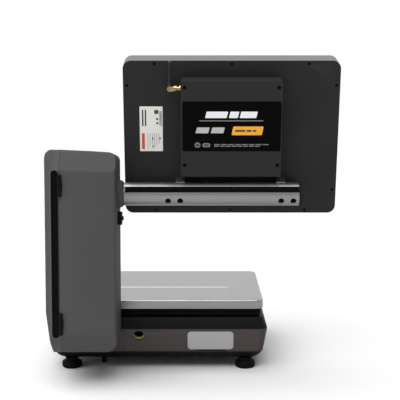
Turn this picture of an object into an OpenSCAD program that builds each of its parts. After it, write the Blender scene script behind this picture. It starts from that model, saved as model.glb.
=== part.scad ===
// Self-service label printing scale: weighing base, printer tower and tilting screen.
// Millimetres, +Z up, +Y towards the rear, +X towards the printer tower.

/* [Weighing base] */
// Width of the base across X at its widest line
base_w = 372; // [360:1:380]
// Depth of the base across Y at its widest line
base_d = 260; // [256:1:270]
// Middle of the base along X
base_x = 54; // [50:1:58]
// Rear face of the base along Y
base_rear = 72; // [72:1:72]
// Height of the base's underside above the ground
pan_z = 19; // [19:1:19]
// Wall of the moulded base parts
base_wall = 2.5; // [2:0.5:3]

/* [Platter] */
// Width of the stainless platter
platter_w = 357.4; // [350:0.2:358]
// Depth of the stainless platter
platter_d = 240; // [230:1:242]
// Height of the weighing surface
platter_top = 120.5; // [120:0.5:122]
// Sheet thickness of the platter
platter_t = 1.2; // [1:0.1:1.5]

/* [Tower] */
// Inner face of the tower, next to the screen
tower_in = 116; // [116:1:116]
// Parting line between the tower shell and its door
door_line = 204; // [204:1:204]
// Outer face of the door
door_out = 230; // [228:1:232]
// Rear face of the tower
tower_rear = 182; // [182:1:182]
// Underside of the tower
tower_bot = 59; // [58:1:60]
// Top of the tower
tower_top = 385; // [380:1:388]
// Wall of the tower mouldings
tower_wall = 3; // [2.5:0.5:3]

/* [Screen] */
// Width of the screen housing
screen_w = 346; // [340:1:346]
// Height of the screen housing along its slope
screen_h = 257; // [250:1:260]
// Thickness of the screen housing
screen_t = 42; // [38:1:44]
// Backward lean of the screen in degrees
screen_lean = 13; // [12:0.5:14]
// Width of the computer box on the back of the screen
box_w = 160; // [150:1:164]
// Height of the computer box along the slope
box_h = 157.2; // [150:0.2:160]
// Depth of the computer box
box_t = 32; // [30:1:34]

/* [Rail] */
// Radius of the round rail that carries the screen
rail_r = 19; // [19:0.5:19]
// Height of the rail's axis
rail_z = 310; // [310:1:310]
// Free end of the rail along X
rail_end = -176; // [-180:1:-172]

/* [Printer] */
// Teeth of the platen gear
platen_teeth = 40; // [40:1:40]
// Teeth of the motor pinion
pinion_teeth = 20; // [20:1:20]
// Radius of a full label roll
roll_r = 46; // [30:1:46]

/* [Hidden] */

eps = 0.02;
base_y = base_rear - base_d / 2;
waist_z = 72;
band_z = 31.5;
collar_z = 91;
band_inset = 7;
collar_inset = 7;
pan_inset = 17;
plan_r = 14;
foot_dx = 149;
foot_rear_y = 45;
foot_front_y = -155;
foot_stem_r = 4;
post_dx = 120;
post_dy = 70;
post_r = 8;
pad_z = 111;
axis_y = 126;
screen_x = -67;
screen_y = 99;
screen_low = -37;
screen_mid = screen_low + screen_h / 2;
box_x = 0.8;
box_low = 37.4;
box_mid = box_low + box_h / 2;
screw_x = 122.5;
screw_edge = 167;
antenna_v = 179;
antenna_y = 15.6;
antenna_out = 17.5;
top_fall = 11;
hinge_x = 203;
hinge_y = 184.5;
hinge_z = [93, 313];
hinge_h = 34;
knuckle_r = 3.5;
hinge_pin_r = 1.5;
leaf_x0 = 199;
leaf_x1 = 207;
turn_gap = 0.05;
platen_y = 98;
platen_z = 160;
motor_y = 122;
motor_z = 142;
head_y = 132;
head_z = 173;
roll_y = 127;
roll_z = 252;
roll_x = 128;
roll_w = 62;
hub_r = 12.5;
core_r = 14;
spindle_r = 4;
shaft_r = 12;
shaft_end = 127;
name_x = 0.3;
name_v = 121.2;
name_w = 155.6;
name_h = 81.8;
label_x = 128.8;
label_v = 107.8;
label_w = 37;
label_h = 75.2;
mesh_angle = atan2(motor_z - platen_z, motor_y - platen_y);
jack_x = -36;
jack_y = 30;
panel_x0 = -122;
panel_x1 = 112;
level_x = 87;
level_z = 60.3;
level_r = 8.7;
vial_r = 9.5;
rating_x = -35;
rating_z = 52;
rating_w = 77.8;
rating_h = 32.6;
platter_y = -55;
knob_z = 270;
trim_x0 = 205.4;
trim_x1 = 216.8;
trim_z0 = 87;
trim_z1 = 354;
rail_start = 105.4;
rail_holes = [34.5, 15, -146.8, -166.3];
rail_hole_r = 4.8;
bracket_top = 336;
strip_y = 13;
strip_low = 4.4;
strip_h = 9;

// Rectangle with true round corners, centred.
module rrect(w, d, r) {
    square([w - 2 * r, d], center = true);
    square([w, d - 2 * r], center = true);
    for (sx = [-1, 1], sy = [-1, 1])
        translate([sx * (w / 2 - r), sy * (d / 2 - r)])
            circle(r, $fn = 32);
}

// Block given by its low and high corners.
module block(low, high) {
    translate(low)
        cube(high - low);
}

// Rod along X from x0 to x1 at a given Y and Z.
module rod_x(x0, x1, y, z, r) {
    translate([x0, y, z])
        rotate([0, 90, 0])
            cylinder(h = x1 - x0, r = r, $fn = 48);
}

// Flat outline drawn in the Y-Z plane, thickened along X.
module across_x(x0, x1) {
    translate([x0, 0, 0])
        rotate([90, 0, 90])
            linear_extrude(x1 - x0)
                children();
}

// Frame of the screen: X along the width, Y out of its back, Z up its slope.
module on_screen() {
    translate([screen_x, screen_y, rail_z])
        rotate([-screen_lean, 0, 0])
            children();
}

// Rounded plate standing in the screen's plane, from y0 to y1.
module screen_plate(w, h, r, y0, y1, mid = screen_mid) {
    translate([0, y1, mid])
        rotate([90, 0, 0])
            linear_extrude(y1 - y0)
                rrect(w, h, r);
}

// Cylinder standing on the back of the screen.
module screen_pin(x, v, y0, y1, r, fn = 32) {
    translate([x, y0, v])
        rotate([-90, 0, 0])
            cylinder(h = y1 - y0, r = r, $fn = fn);
}

// Thin horizontal slice of the base's plan.
module base_slice(z, inset) {
    translate([base_x, base_y, z])
        linear_extrude(eps)
            rrect(base_w - 2 * inset, base_d - 2 * inset, plan_r);
}

// Solid between two slices of the base.
module band(z0, inset0, z1, inset1) {
    hull() {
        base_slice(z0, inset0);
        base_slice(z1 - eps, inset1);
    }
}

// Places a child at each corner foot.
module at_feet() {
    for (sx = [-1, 1], y = [foot_rear_y, foot_front_y])
        translate([base_x + sx * foot_dx, y, 0])
            children();
}

// Places a child at each post of the weighing frame.
module at_posts() {
    for (sx = [-1, 1], sy = [-1, 1])
        translate([base_x + sx * post_dx, base_y + sy * post_dy, 0])
            children();
}

// Moulded tray under the base.
module base_pan() {
    color([0.1, 0.1, 0.1])
    difference() {
        band(pan_z, pan_inset, band_z, band_inset);
        band(pan_z + base_wall, pan_inset + 1, band_z + 1, band_inset + base_wall);
        at_feet()
            translate([0, 0, pan_z - 1])
                cylinder(h = 6, r = 4.5, $fn = 32);
        translate([jack_x, jack_y, pan_z - 1])
            cylinder(h = 6, r = 6, $fn = 32);
    }
}

// Ring of the lower body, from the pan up to the waist.
module lower_ring() {
    difference() {
        band(band_z, band_inset, waist_z, 0);
        band(band_z - 1, band_inset + base_wall + 0.2, waist_z + 1, base_wall - 0.2);
    }
}

// Opening of the inset rear panel, seen from behind.
module rear_window(gap) {
    translate([(panel_x0 + panel_x1) / 2, base_rear + 5, (band_z + waist_z) / 2])
        rotate([90, 0, 0])
            linear_extrude(25)
                rrect(panel_x1 - panel_x0 + 2 * gap, waist_z - band_z - 3 + 2 * gap, 6);
}

// Slots in the rear walls that the two tower arms pass through.
module arm_blocks(grow) {
    for (x = [135, 183])
        block([x - grow, 8, 62 - grow], [x + 16 + grow, 150, 69 + grow]);
}

// Lower body of the base.
module base_shell() {
    color([0.27, 0.25, 0.25])
    difference() {
        lower_ring();
        rear_window(0.3);
        arm_blocks(0.4);
    }
}

// Upper body with the deck under the weighing frame.
module base_collar() {
    color([0.12, 0.12, 0.12])
    difference() {
        band(waist_z, 0, collar_z, collar_inset);
        band(waist_z - 1, base_wall - 0.4, collar_z - base_wall, collar_inset + base_wall - 0.6);
        at_posts()
            translate([0, 0, collar_z - 5])
                cylinder(h = 8, r = post_r + 3, $fn = 32);
    }
}

// Inset rear panel with the level window.
module rear_panel() {
    color([0.28, 0.26, 0.26])
    difference() {
        intersection() {
            lower_ring();
            rear_window(0);
        }
        translate([level_x, base_rear + 5, level_z])
            rotate([90, 0, 0])
                cylinder(h = 20, r = level_r, $fn = 48);
        block([rating_x - 26, base_rear - 20, band_z], [rating_x + 24, base_rear + 5, band_z + 4.3]);
    }
}

// Blank metal rating plate on the rear panel, leaning with its draft.
module rating_plate() {
    color([0.62, 0.62, 0.62])
    translate([rating_x, base_rear - band_inset * (waist_z - rating_z) / (waist_z - band_z), rating_z])
        rotate([-atan(band_inset / (waist_z - band_z)), 0, 0])
            translate([0, 0.7, 0])
                rotate([90, 0, 0])
                    linear_extrude(0.6)
                        rrect(rating_w, rating_h, 6);
}

// Round cup that holds the bubble level behind the window.
module bubble_level() {
    color([0.08, 0.08, 0.08])
    translate([level_x, 50, level_z])
        rotate([-90, 0, 0])
            difference() {
                cylinder(h = 14, r = vial_r + 1.5, $fn = 48);
                translate([0, 0, 3])
                    cylinder(h = 12, r = vial_r, $fn = 48);
            }
}

// Green liquid vial of the level.
module level_vial() {
    color([0.55, 0.7, 0.2])
    translate([level_x, 53, level_z])
        rotate([-90, 0, 0])
            cylinder(h = 6, r = vial_r, $fn = 48);
}

// Transport lock screw under the base.
module transit_peg() {
    color([0.08, 0.08, 0.08])
    translate([147.5, 46, 8])
        cylinder(h = 11, r = 4.5, $fn = 32);
}

// Threaded bosses that hold the feet.
module foot_bosses() {
    color([0.12, 0.12, 0.12])
    at_feet()
        translate([0, 0, pan_z + base_wall])
            difference() {
                cylinder(h = 24, r = 9, $fn = 32);
                translate([0, 0, -1])
                    cylinder(h = 26, r = foot_stem_r + turn_gap, $fn = 32);
            }
}

// One levelling foot: rubber pad and its stem, on one side of the base at a given Y.
module foot(sx, y) {
    color([0.05, 0.05, 0.05])
    translate([base_x + sx * foot_dx, y, 0]) {
        rotate_extrude($fn = 64)
            polygon([[0, 0], [14.5, 0], [16.4, 1.5], [17, 4], [17, 9], [15.5, 11],
                [12, 12], [11, 17.5], [0, 17.5]]);
        translate([0, 0, 17.4])
            cylinder(h = 26, r = foot_stem_r, $fn = 32);
    }
}

// Binocular load cell bar.
module load_cell() {
    color([0.75, 0.76, 0.78])
    difference() {
        block([-21, -75, 40], [129, -35, 62]);
        for (x = [39, 69])
            translate([x, -30, 51])
                rotate([90, 0, 0])
                    cylinder(h = 50, r = 8.5, $fn = 48);
        block([39, -80, 49], [69, -30, 53]);
    }
}

// Lower and upper spacer blocks of the load cell.
module cell_blocks() {
    color([0.7, 0.7, 0.72]) {
        block([-21, -75, pan_z + base_wall], [9, -35, 40]);
        block([99, -75, 62], [129, -35, 76]);
    }
}

// Cast frame that spreads the load from the cell to four posts.
module spider() {
    color([0.6, 0.61, 0.63]) {
        for (s = [-1, 1])
            block([base_x - post_dx - 10, base_y + s * post_dy - 8, 76],
                [base_x + post_dx + 10, base_y + s * post_dy + 8, 84]);
        block([base_x + 40, base_y - post_dy, 76], [base_x + 80, base_y + post_dy, 84]);
        at_posts()
            translate([0, 0, 83.9])
                cylinder(h = pad_z - 83.9, r = post_r, $fn = 32);
    }
}

// Rubber caps on the four posts.
module spider_pads() {
    color([0.06, 0.06, 0.06])
    at_posts()
        translate([0, 0, pad_z])
            cylinder(h = 6.3, r = post_r, $fn = 32);
}

// Black tray that carries the platter.
module sub_platter() {
    color([0.04, 0.04, 0.04])
    difference() {
        translate([base_x, platter_y, 94])
            linear_extrude(platter_top - platter_t - 94)
                rrect(platter_w - 7, platter_d - 7, 12);
        translate([base_x, platter_y, 93])
            linear_extrude(117.3 - 93)
                rrect(platter_w - 11, platter_d - 11, 10);
    }
}

// Folded stainless weighing platter.
module platter() {
    color([0.78, 0.79, 0.8])
    difference() {
        translate([base_x, platter_y, platter_top - 15])
            linear_extrude(15)
                rrect(platter_w, platter_d, 14);
        translate([base_x, platter_y, platter_top - 16])
            linear_extrude(16 - platter_t)
                rrect(platter_w - 2 * platter_t, platter_d - 2 * platter_t, 12.8);
    }
}

// Measuring circuit board in the base.
module scale_board() {
    color([0.1, 0.35, 0.2])
    block([-104, -20, 30], [-64, 30, 31.6]);
    color([0.8, 0.8, 0.8])
    for (x = [-100, -68], y = [-16, 26])
        translate([x, y, pan_z + base_wall])
            cylinder(h = 30 - pan_z - base_wall, r = 3, $fn = 24);
}

// Mains supply inside the base.
module power_supply() {
    color([0.65, 0.66, 0.68])
    block([-80, -160, pan_z + base_wall], [-10, -95, 50]);
}

// Round power jack that opens under the base.
module power_jack() {
    color([0.1, 0.1, 0.1])
    translate([jack_x, jack_y, pan_z])
        difference() {
            union() {
                cylinder(h = 14, r = 5.9, $fn = 48);
                translate([0, 0, base_wall])
                    cylinder(h = 3, r = 8, $fn = 48);
            }
            translate([0, 0, -1])
                cylinder(h = 12, r = 3.2, $fn = 48);
        }
}

// Two steel arms that carry the tower from the base.
module tower_arms() {
    color([0.45, 0.46, 0.48])
    arm_blocks(0);
}

// Side outline of the tower, in Y and Z, drawn in by an amount.
module tower_side(inset) {
    polygon([[base_rear + inset, tower_bot + inset], [base_rear + inset, tower_top - top_fall - 6 - inset],
        [base_rear + 6 + inset, tower_top - top_fall - inset],
        [tower_rear - 20 - inset * 0.5, tower_top - inset],
        [tower_rear - inset, tower_top - 31 - inset * 0.5], [tower_rear - inset, tower_bot + 33],
        [tower_rear - 17 - inset * 0.5, tower_bot + inset]]);
}

// Rear outline of the tower shell, in X and Z: round at the inner corners, its top falling inwards.
module tower_front(inset) {
    top_r = 13;
    low_r = 20;
    drop = 4;
    x0 = tower_in + inset;
    z0 = tower_bot + inset;
    z1 = tower_top - inset;
    translate([x0, z0 + low_r])
        square([door_line - x0, z1 - z0 - low_r - top_r - drop]);
    translate([x0 + low_r, z0])
        square([door_line - x0 - low_r, low_r + 1]);
    polygon([[x0 + top_r, z1 - top_r - drop - 1], [door_line, z1 - top_r - drop - 1], [door_line, z1],
        [x0 + top_r, z1 - drop]]);
    translate([x0 + low_r, z0 + low_r])
        circle(low_r, $fn = 48);
    translate([x0 + top_r, z1 - top_r - drop])
        circle(top_r, $fn = 48);
}

// Solid of the tower shell, drawn in by an amount and run past the parting line by another.
module tower_solid(inset, open) {
    intersection() {
        across_x(tower_in - 1, door_line + open)
            tower_side(inset);
        translate([0, tower_rear + 1, 0])
            rotate([90, 0, 0])
                linear_extrude(tower_rear - base_rear + 2)
                    union() {
                        tower_front(inset);
                        translate([door_line - 1, tower_bot + inset])
                            square([1 + open, tower_top - tower_bot - 2 * inset]);
                    }
    }
}

// Room for the hinge knuckles in shell and door.
module hinge_notches(r) {
    for (z = hinge_z)
        translate([hinge_x, hinge_y, z - 0.5])
            cylinder(h = hinge_h + 1, r = r, $fn = 48);
}

// Moulded tower shell, open towards the door.
module tower_shell() {
    color([0.33, 0.33, 0.33])
    difference() {
        tower_solid(0, 0);
        tower_solid(tower_wall, 2);
        hinge_notches(4);
        for (z = hinge_z)
            block([leaf_x0 - 0.2, tower_rear - 2.2, z + 10.8], [door_line + 1, tower_rear + 1, z + 23.2]);
        arm_blocks(0.4);
        rod_x(tower_in - 1, tower_in + tower_wall + 1, axis_y, rail_z, shaft_r + 0.4);
        rod_x(tower_in - 1, tower_in + tower_wall + 1, axis_y, knob_z, 3.3);
        block([126, base_rear - 1, 166], [190, base_rear + tower_wall + 1, 176]);
    }
}

// Round boss between the tower and the rail.
module tower_boss() {
    color([0.3, 0.3, 0.3])
    translate([tower_in, axis_y, rail_z])
        rotate([0, -90, 0])
            rotate_extrude($fn = 64)
                polygon(concat([[12.05, 0], [23, 0], [23, 3.5]],
                    [for (a = [15:15:75]) [19.5 + 3.5 * cos(a), 3.5 + 6.5 * sin(a)]],
                    [[19.5, 10], [12.05, 10]]));
}

// Outline solid of the door, drawn in by an amount.
module door_solid(inset) {
    hull() {
        across_x(door_line + (inset > 0 ? -1 : 0.4), door_out - 12.5 - inset * 0.5)
            tower_side(inset);
        across_x(door_out - inset - eps, door_out - inset)
            polygon([[base_rear + 10 + inset, 123],
                [base_rear + 10 + inset, tower_top - top_fall - 16 - inset],
                [tower_rear - 34 - inset, tower_top - 18 - inset], [tower_rear - 22 - inset, tower_top - 40],
                [tower_rear - 22 - inset, 140], [tower_rear - 34 - inset, 123]]);
    }
}

// Stadium of the black trim in the door's rear edge.
module trim_strip(y0, y1, grow) {
    translate([(trim_x0 + trim_x1) / 2, y1, (trim_z0 + trim_z1) / 2])
        rotate([90, 0, 0])
            linear_extrude(y1 - y0)
                rrect(trim_x1 - trim_x0 + 2 * grow, trim_z1 - trim_z0 + 2 * grow, 5.5);
}

// Room for one moving hinge leaf in the door and its trim.
module leaf_room(z0) {
    block([door_line, tower_rear - 2.2, z0], [leaf_x1 + 0.2, tower_rear + 1, z0 + 11.4]);
}

// Printer door on the outer side of the tower.
module door_shell() {
    color([0.36, 0.36, 0.36])
    difference() {
        door_solid(0);
        door_solid(tower_wall);
        trim_strip(tower_rear - 2, tower_rear + 1, 0);
        hinge_notches(4);
        for (z = hinge_z, dz = [-0.2, 22.8])
            leaf_room(z + dz);
    }
}

// Black trim let into the door.
module door_trim() {
    color([0.08, 0.08, 0.08])
    difference() {
        trim_strip(tower_rear - 2, tower_rear - 0.8, 0);
        hinge_notches(4);
        for (z = hinge_z, dz = [-0.2, 22.8])
            leaf_room(z + dz);
    }
}

// Snap catch behind the front edge of the door.
module door_catch() {
    color([0.15, 0.15, 0.15])
    block([180, base_rear + tower_wall, 214], [203.6, base_rear + 9, 228]);
}

// One knuckle about the door's axis.
module knuckle(z0, h, x0, x1) {
    difference() {
        union() {
            translate([hinge_x, hinge_y, z0])
                cylinder(h = h, r = knuckle_r, $fn = 48);
            block([x0, tower_rear - 2, z0], [x1, tower_rear + 1.4, z0 + h]);
        }
        translate([hinge_x, hinge_y, z0 - 1])
            cylinder(h = h + 2, r = hinge_pin_r + turn_gap, $fn = 32);
    }
}

// Middle knuckles, fixed to the shell.
module hinge_fixed() {
    color([0.06, 0.06, 0.06])
    for (z = hinge_z)
        knuckle(z + 11.2, 11.6, leaf_x0, hinge_x - 0.4);
}

// Outer knuckles, fixed to the door.
module hinge_moving() {
    color([0.07, 0.07, 0.07])
    for (z = hinge_z, dz = [0, 23])
        knuckle(z + dz, 11, door_line + 0.4, leaf_x1);
}

// Hinge pins.
module hinge_pins() {
    color([0.6, 0.6, 0.62])
    for (z = hinge_z)
        translate([hinge_x, hinge_y, z])
            cylinder(h = hinge_h, r = hinge_pin_r, $fn = 32);
}

// Steel spindle for the label roll.
module roll_spindle() {
    color([0.65, 0.66, 0.68]) {
        rod_x(tower_in + tower_wall, 122, roll_y, roll_z, 14);
        rod_x(121.9, 191, roll_y, roll_z, spindle_r);
    }
}

// Plastic hub that turns on the spindle.
module roll_hub() {
    color([0.2, 0.3, 0.5])
    difference() {
        union() {
            rod_x(roll_x - 3, roll_x, roll_y, roll_z, 30);
            rod_x(roll_x - 0.1, roll_x + roll_w, roll_y, roll_z, hub_r);
        }
        rod_x(roll_x - 4, roll_x + roll_w + 1, roll_y, roll_z, spindle_r + turn_gap);
    }
}

// Ring along X.
module ring_x(x0, x1, y, z, r_out, r_in) {
    difference() {
        rod_x(x0, x1, y, z, r_out);
        rod_x(x0 - 1, x1 + 1, y, z, r_in);
    }
}

// Cardboard core of the label roll.
module roll_core() {
    color([0.72, 0.6, 0.45])
    ring_x(roll_x, roll_x + roll_w, roll_y, roll_z, core_r, hub_r);
}

// Wound labels.
module label_roll() {
    color([0.93, 0.92, 0.88])
    ring_x(roll_x, roll_x + roll_w, roll_y, roll_z, roll_r, core_r);
}

// Folded frame of the printer, with its label chute and the pin of the print head.
module printer_frame() {
    color([0.68, 0.69, 0.7]) {
        rod_x(124.4, 192.1, head_y, head_z, 2);
        block([124.4, 80.2, 163.5], [192.1, 89.5, 165.5]);
    }
    color([0.68, 0.69, 0.7])
    difference() {
        union() {
            block([122, 80, 112], [124.5, 150, 184]);
            block([192, 80, 112], [194.5, 150, 184]);
            block([122, 80, 110], [194.5, 150, 112.5]);
            for (z = [118, 172])
                rod_x(tower_in + tower_wall, 122.1, 144, z, 4);
        }
        rod_x(120, 197, platen_y, platen_z, 3.06);
        rod_x(190, 197, motor_y, motor_z, 2.7);
    }
}

// Rubber platen on its steel shaft.
module platen_roller() {
    color([0.1, 0.1, 0.1])
    union() {
        rod_x(126, 190.5, platen_y, platen_z, 7);
        rod_x(120.5, 201, platen_y, platen_z, 3);
    }
}

// Spur gear outline of module 1, with one tooth centred on an angle.
module gear_shape(teeth, start, bore) {
    pitch_r = teeth / 2;
    step = 360 / teeth;
    tooth = [[-0.335, -1.15], [-0.158, 0.75], [0.158, 0.75], [0.335, -1.15]];
    difference() {
        polygon([for (i = [0:teeth - 1], p = tooth)
            let (a = start + (i + p[0]) * step, r = pitch_r + p[1]) [r * cos(a), r * sin(a)]]);
        circle(bore, $fn = 32);
    }
}

// Gear on the platen shaft.
module platen_gear() {
    color([0.85, 0.84, 0.78])
    translate([0, platen_y, platen_z])
        across_x(195.6, 200)
            gear_shape(platen_teeth, mesh_angle, 3);
}

// Stepper motor of the printer.
module print_motor() {
    color([0.25, 0.25, 0.27])
    rod_x(158, 192, motor_y, motor_z, 14);
}

// Pinion and shaft of the motor.
module motor_pinion() {
    color([0.8, 0.7, 0.4]) {
        rod_x(192.1, 201, motor_y, motor_z, 2.6);
        translate([0, motor_y, motor_z])
            across_x(195.6, 200)
                gear_shape(pinion_teeth, mesh_angle + 180 + 180 / pinion_teeth, 2.6);
    }
}

// Thermal head on its lifting arm.
module print_head() {
    color([0.8, 0.81, 0.83])
    difference() {
        union() {
            block([127, 93, 167.6], [189.5, head_y, 171]);
            rod_x(127, 189.5, head_y, head_z, 5);
            block([140, 100, 170.9], [176, 122, 177]);
        }
        rod_x(125, 191, head_y, head_z, 2.06);
    }
}

// Printer control board on the tower's inner wall.
module printer_board() {
    color([0.1, 0.35, 0.2])
    block([121, 86, 330], [122.6, 168, 362]);
    color([0.8, 0.8, 0.8])
    for (y = [92, 162], z = [336, 356])
        rod_x(tower_in + tower_wall, 121.1, y, z, 2.5);
}

// Lobed knob that locks the screen's tilt.
module clamp_knob() {
    color([0.05, 0.05, 0.05]) {
        translate([tower_in - 0.4, axis_y, knob_z])
            rotate([0, -90, 0])
                difference() {
                    cylinder(h = 6.2, r = 11, $fn = 48);
                    for (a = [0:60:300])
                        rotate([0, 0, a])
                            translate([13.4, 0, -1])
                                cylinder(h = 9, r = 4, $fn = 24);
                }
        rod_x(tower_in - 9, tower_in - 6.5, axis_y, knob_z, 3.5);
        rod_x(tower_in - 0.5, tower_in + 7, axis_y, knob_z, 3);
    }
}

// Shaft that carries the rail in the boss.
module tilt_shaft() {
    color([0.6, 0.61, 0.63])
    rod_x(85, shaft_end, axis_y, rail_z, shaft_r);
}

// Collar that keeps the shaft in the tower.
module shaft_collar() {
    color([0.3, 0.3, 0.3])
    ring_x(tower_in + tower_wall + 0.3, shaft_end, axis_y, rail_z, 17, shaft_r);
}

// Cross-section of the rail, in Y and Z about its axis.
module rail_shape() {
    difference() {
        circle(rail_r, $fn = 96);
        difference() {
            circle(12, $fn = 96);
            translate([9, 2.4])
                square([10, 13]);
        }
        translate([strip_y, strip_low])
            square([20, strip_h]);
    }
}

// Extruded aluminium rail.
module rail() {
    color([0.66, 0.67, 0.69])
    difference() {
        translate([0, axis_y, rail_z])
            across_x(rail_end, rail_start)
                rail_shape();
        for (x = rail_holes)
            translate([x, axis_y, rail_z])
                rotate([-120, 0, 0])
                    translate([0, 0, 8])
                        cylinder(h = 20, r = rail_hole_r, $fn = 32);
        rod_x(84.9, rail_start + 1, axis_y, rail_z, shaft_r);
    }
}

// Black cover strip in the rail's groove and the cap on its free end.
module rail_trim() {
    color([0.08, 0.08, 0.08]) {
        block([rail_end + 0.4, axis_y + strip_y, rail_z + strip_low],
            [rail_start - 2, axis_y + strip_y + 1.6, rail_z + strip_low + strip_h]);
        rod_x(rail_end - 2, rail_end, axis_y, rail_z, rail_r);
    }
}

// Two brackets that bolt the screen to the rail.
module screen_brackets() {
    color([0.5, 0.51, 0.52])
    for (x = [15, -146.8])
        difference() {
            across_x(x - 7.5, x + 7.5)
                polygon([[plane_y(290), 290], [plane_y(bracket_top), bracket_top],
                    [plane_y(bracket_top) + 13, bracket_top - 2], [135, bracket_top - 6],
                    [axis_y, rail_z], [115, 290]]);
            rod_x(x - 8, x + 8, axis_y, rail_z, rail_r);
        }
}

// Y of the screen's back plane at a height.
function plane_y(z) = screen_y + (z - rail_z) * tan(screen_lean);

// Aluminium frame round the screen.
module bezel_frame() {
    color([0.63, 0.63, 0.64])
    on_screen()
        difference() {
            screen_plate(screen_w, screen_h, 13, -screen_t, -2.5);
            screen_plate(screen_w - 6, screen_h - 6, 10, -screen_t - 1, -1);
        }
}

// Screw places of the rear cover.
function back_screw_places() = concat(
    [for (x = [-screw_x, 0, screw_x], s = [-1, 1]) [x, screen_mid + s * 123.5]],
    [for (x = [-screw_edge, screw_edge], v = [4, 180]) [x, v]]);

// Rear cover of the screen.
module screen_back() {
    color([0.19, 0.19, 0.19])
    on_screen()
        difference() {
            screen_plate(screen_w, screen_h, 13, -2.5, 0);
            for (p = back_screw_places())
                screen_pin(p[0], p[1], -5, 1, 2.6, 24);
        }
}

// Touch glass on the front.
module touch_glass() {
    color([0.05, 0.05, 0.07])
    on_screen()
        screen_plate(screen_w - 6.4, screen_h - 6.4, 9.8, -screen_t + 0.3, -screen_t + 3.3);
}

// Display panel with its metal back.
module lcd_panel() {
    color([0.55, 0.56, 0.58])
    on_screen()
        screen_plate(320, 215, 2, -screen_t + 3.4, -screen_t + 13);
}

// Sheet cover of the computer box.
module box_cover() {
    color([0.2, 0.2, 0.2])
    on_screen()
        difference() {
            translate([box_x, 0, 0])
                screen_plate(box_w, box_h, 2.5, 0, box_t, box_mid);
            translate([box_x, 0, 0])
                screen_plate(box_w - 3, box_h - 3, 1.5, -1, box_t - 1.5, box_mid);
            for (p = box_screw_places())
                screen_pin(p[0], p[1], box_t - 4, box_t + 1, 3.2, 24);
            translate([box_x + box_w / 2 - 3, antenna_y, antenna_v])
                rotate([0, 90, 0])
                    cylinder(h = 6, r = 3.25, $fn = 32);
        }
}

// Screw places of the computer box.
function box_screw_places() = [for (x = [-74, 74], v = [56.8, 184.3]) [x + box_x, v]];

// Screws of the rear cover and of the computer box.
module screen_screws() {
    color([0.05, 0.05, 0.05])
    on_screen() {
        for (p = back_screw_places())
            screen_pin(p[0], p[1], -2.4, -0.9, 2.6, 24);
        for (p = box_screw_places())
            screen_pin(p[0], p[1], 0.2, box_t - 1.2, 3.1, 24);
    }
}

// Computer board with its posts and cooler.
module computer_parts() {
    color([0.1, 0.35, 0.2])
    on_screen() {
        block([-60, 6, 70], [60, 7.6, 170]);
        for (x = [-54, 54], v = [76, 164])
            screen_pin(x, v, 0, 6.1, 2.5, 24);
        block([-30, 7.5, 95], [30, 22, 150]);
    }
}

// Blank black name plate on the computer box.
module name_plate() {
    color([0.05, 0.05, 0.05])
    on_screen()
        translate([name_x, 0, 0])
            screen_plate(name_w, name_h, 4, box_t, box_t + 0.6, name_v);
}

// Blank paper label on the rear cover.
module service_label() {
    color([0.9, 0.9, 0.87])
    on_screen()
        translate([label_x, 0, 0])
            screen_plate(label_w, label_h, 0.8, 0, 0.3, label_v);
}

// Frame of the antenna: origin in its elbow, Z up the screen's slope.
module at_antenna() {
    on_screen()
        translate([box_x + box_w / 2 + antenna_out, antenna_y, antenna_v])
            children();
}

// Threaded brass socket of the antenna.
module antenna_socket() {
    color([0.75, 0.62, 0.3])
    at_antenna()
        rotate([0, 90, 0])
            translate([0, 0, -antenna_out - 3]) {
                cylinder(h = 9, r = 3.2, $fn = 48);
                translate([0, 0, 3])
                    cylinder(h = 2, r = 4.4, $fn = 6);
            }
}

// Turning elbow with two ears.
module antenna_elbow() {
    color([0.05, 0.05, 0.05])
    at_antenna()
        difference() {
            union() {
                translate([-10.9, 0, 0])
                    rotate([0, 90, 0])
                        cylinder(h = 5, r = 4.6, $fn = 48);
                translate([-6, -4.2, -4])
                    cube([6, 8.4, 8]);
                rotate([90, 0, 0])
                    translate([0, 0, -4.2])
                        cylinder(h = 8.4, r = 4, $fn = 48);
            }
            translate([-4.7, -2.2, -6])
                cube([12, 4.4, 12]);
            rotate([90, 0, 0])
                translate([0, 0, -6])
                    cylinder(h = 12, r = 1.05, $fn = 32);
        }
}

// Folding antenna rod with its tongue and pin.
module antenna_rod() {
    color([0.07, 0.07, 0.07])
    at_antenna()
        union() {
            rotate([90, 0, 0])
                translate([0, 0, -2])
                    cylinder(h = 4, r = 3.5, $fn = 48);
            rotate([90, 0, 0])
                translate([0, 0, -4.2])
                    cylinder(h = 8.4, r = 1, $fn = 32);
            translate([-2, -2, 0])
                cube([4, 4, 6]);
            translate([0, 0, 5.4])
                cylinder(h = 38.6, r = 2.9, $fn = 48);
        }
}

base_pan();
base_shell();
base_collar();
rear_panel();
rating_plate();
bubble_level();
level_vial();
transit_peg();
foot_bosses();
foot(1, foot_rear_y);  // foot_rear_left
foot(-1, foot_rear_y);  // foot_rear_right
foot(1, foot_front_y);  // foot_front_left
foot(-1, foot_front_y);  // foot_front_right
load_cell();
cell_blocks();
spider();
spider_pads();
sub_platter();
platter();
scale_board();
power_supply();
power_jack();
tower_arms();
tower_shell();
tower_boss();
door_shell();
door_trim();
door_catch();
hinge_fixed();
hinge_moving();
hinge_pins();
roll_spindle();
roll_hub();
roll_core();
label_roll();
printer_frame();
platen_roller();
platen_gear();
print_motor();
motor_pinion();
print_head();
printer_board();
clamp_knob();
tilt_shaft();
shaft_collar();
rail();
rail_trim();
screen_brackets();
bezel_frame();
screen_back();
touch_glass();
lcd_panel();
screen_screws();
box_cover();
computer_parts();
name_plate();
service_label();
antenna_socket();
antenna_elbow();
antenna_rod();
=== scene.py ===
"""Looks of a self-service label scale: weighing base, printer tower and tilting screen on a rail."""

import logging
import math
from dataclasses import dataclass
from enum import Enum
from typing import Sequence

import bmesh
import bpy
from mathutils import Matrix, Vector


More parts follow.
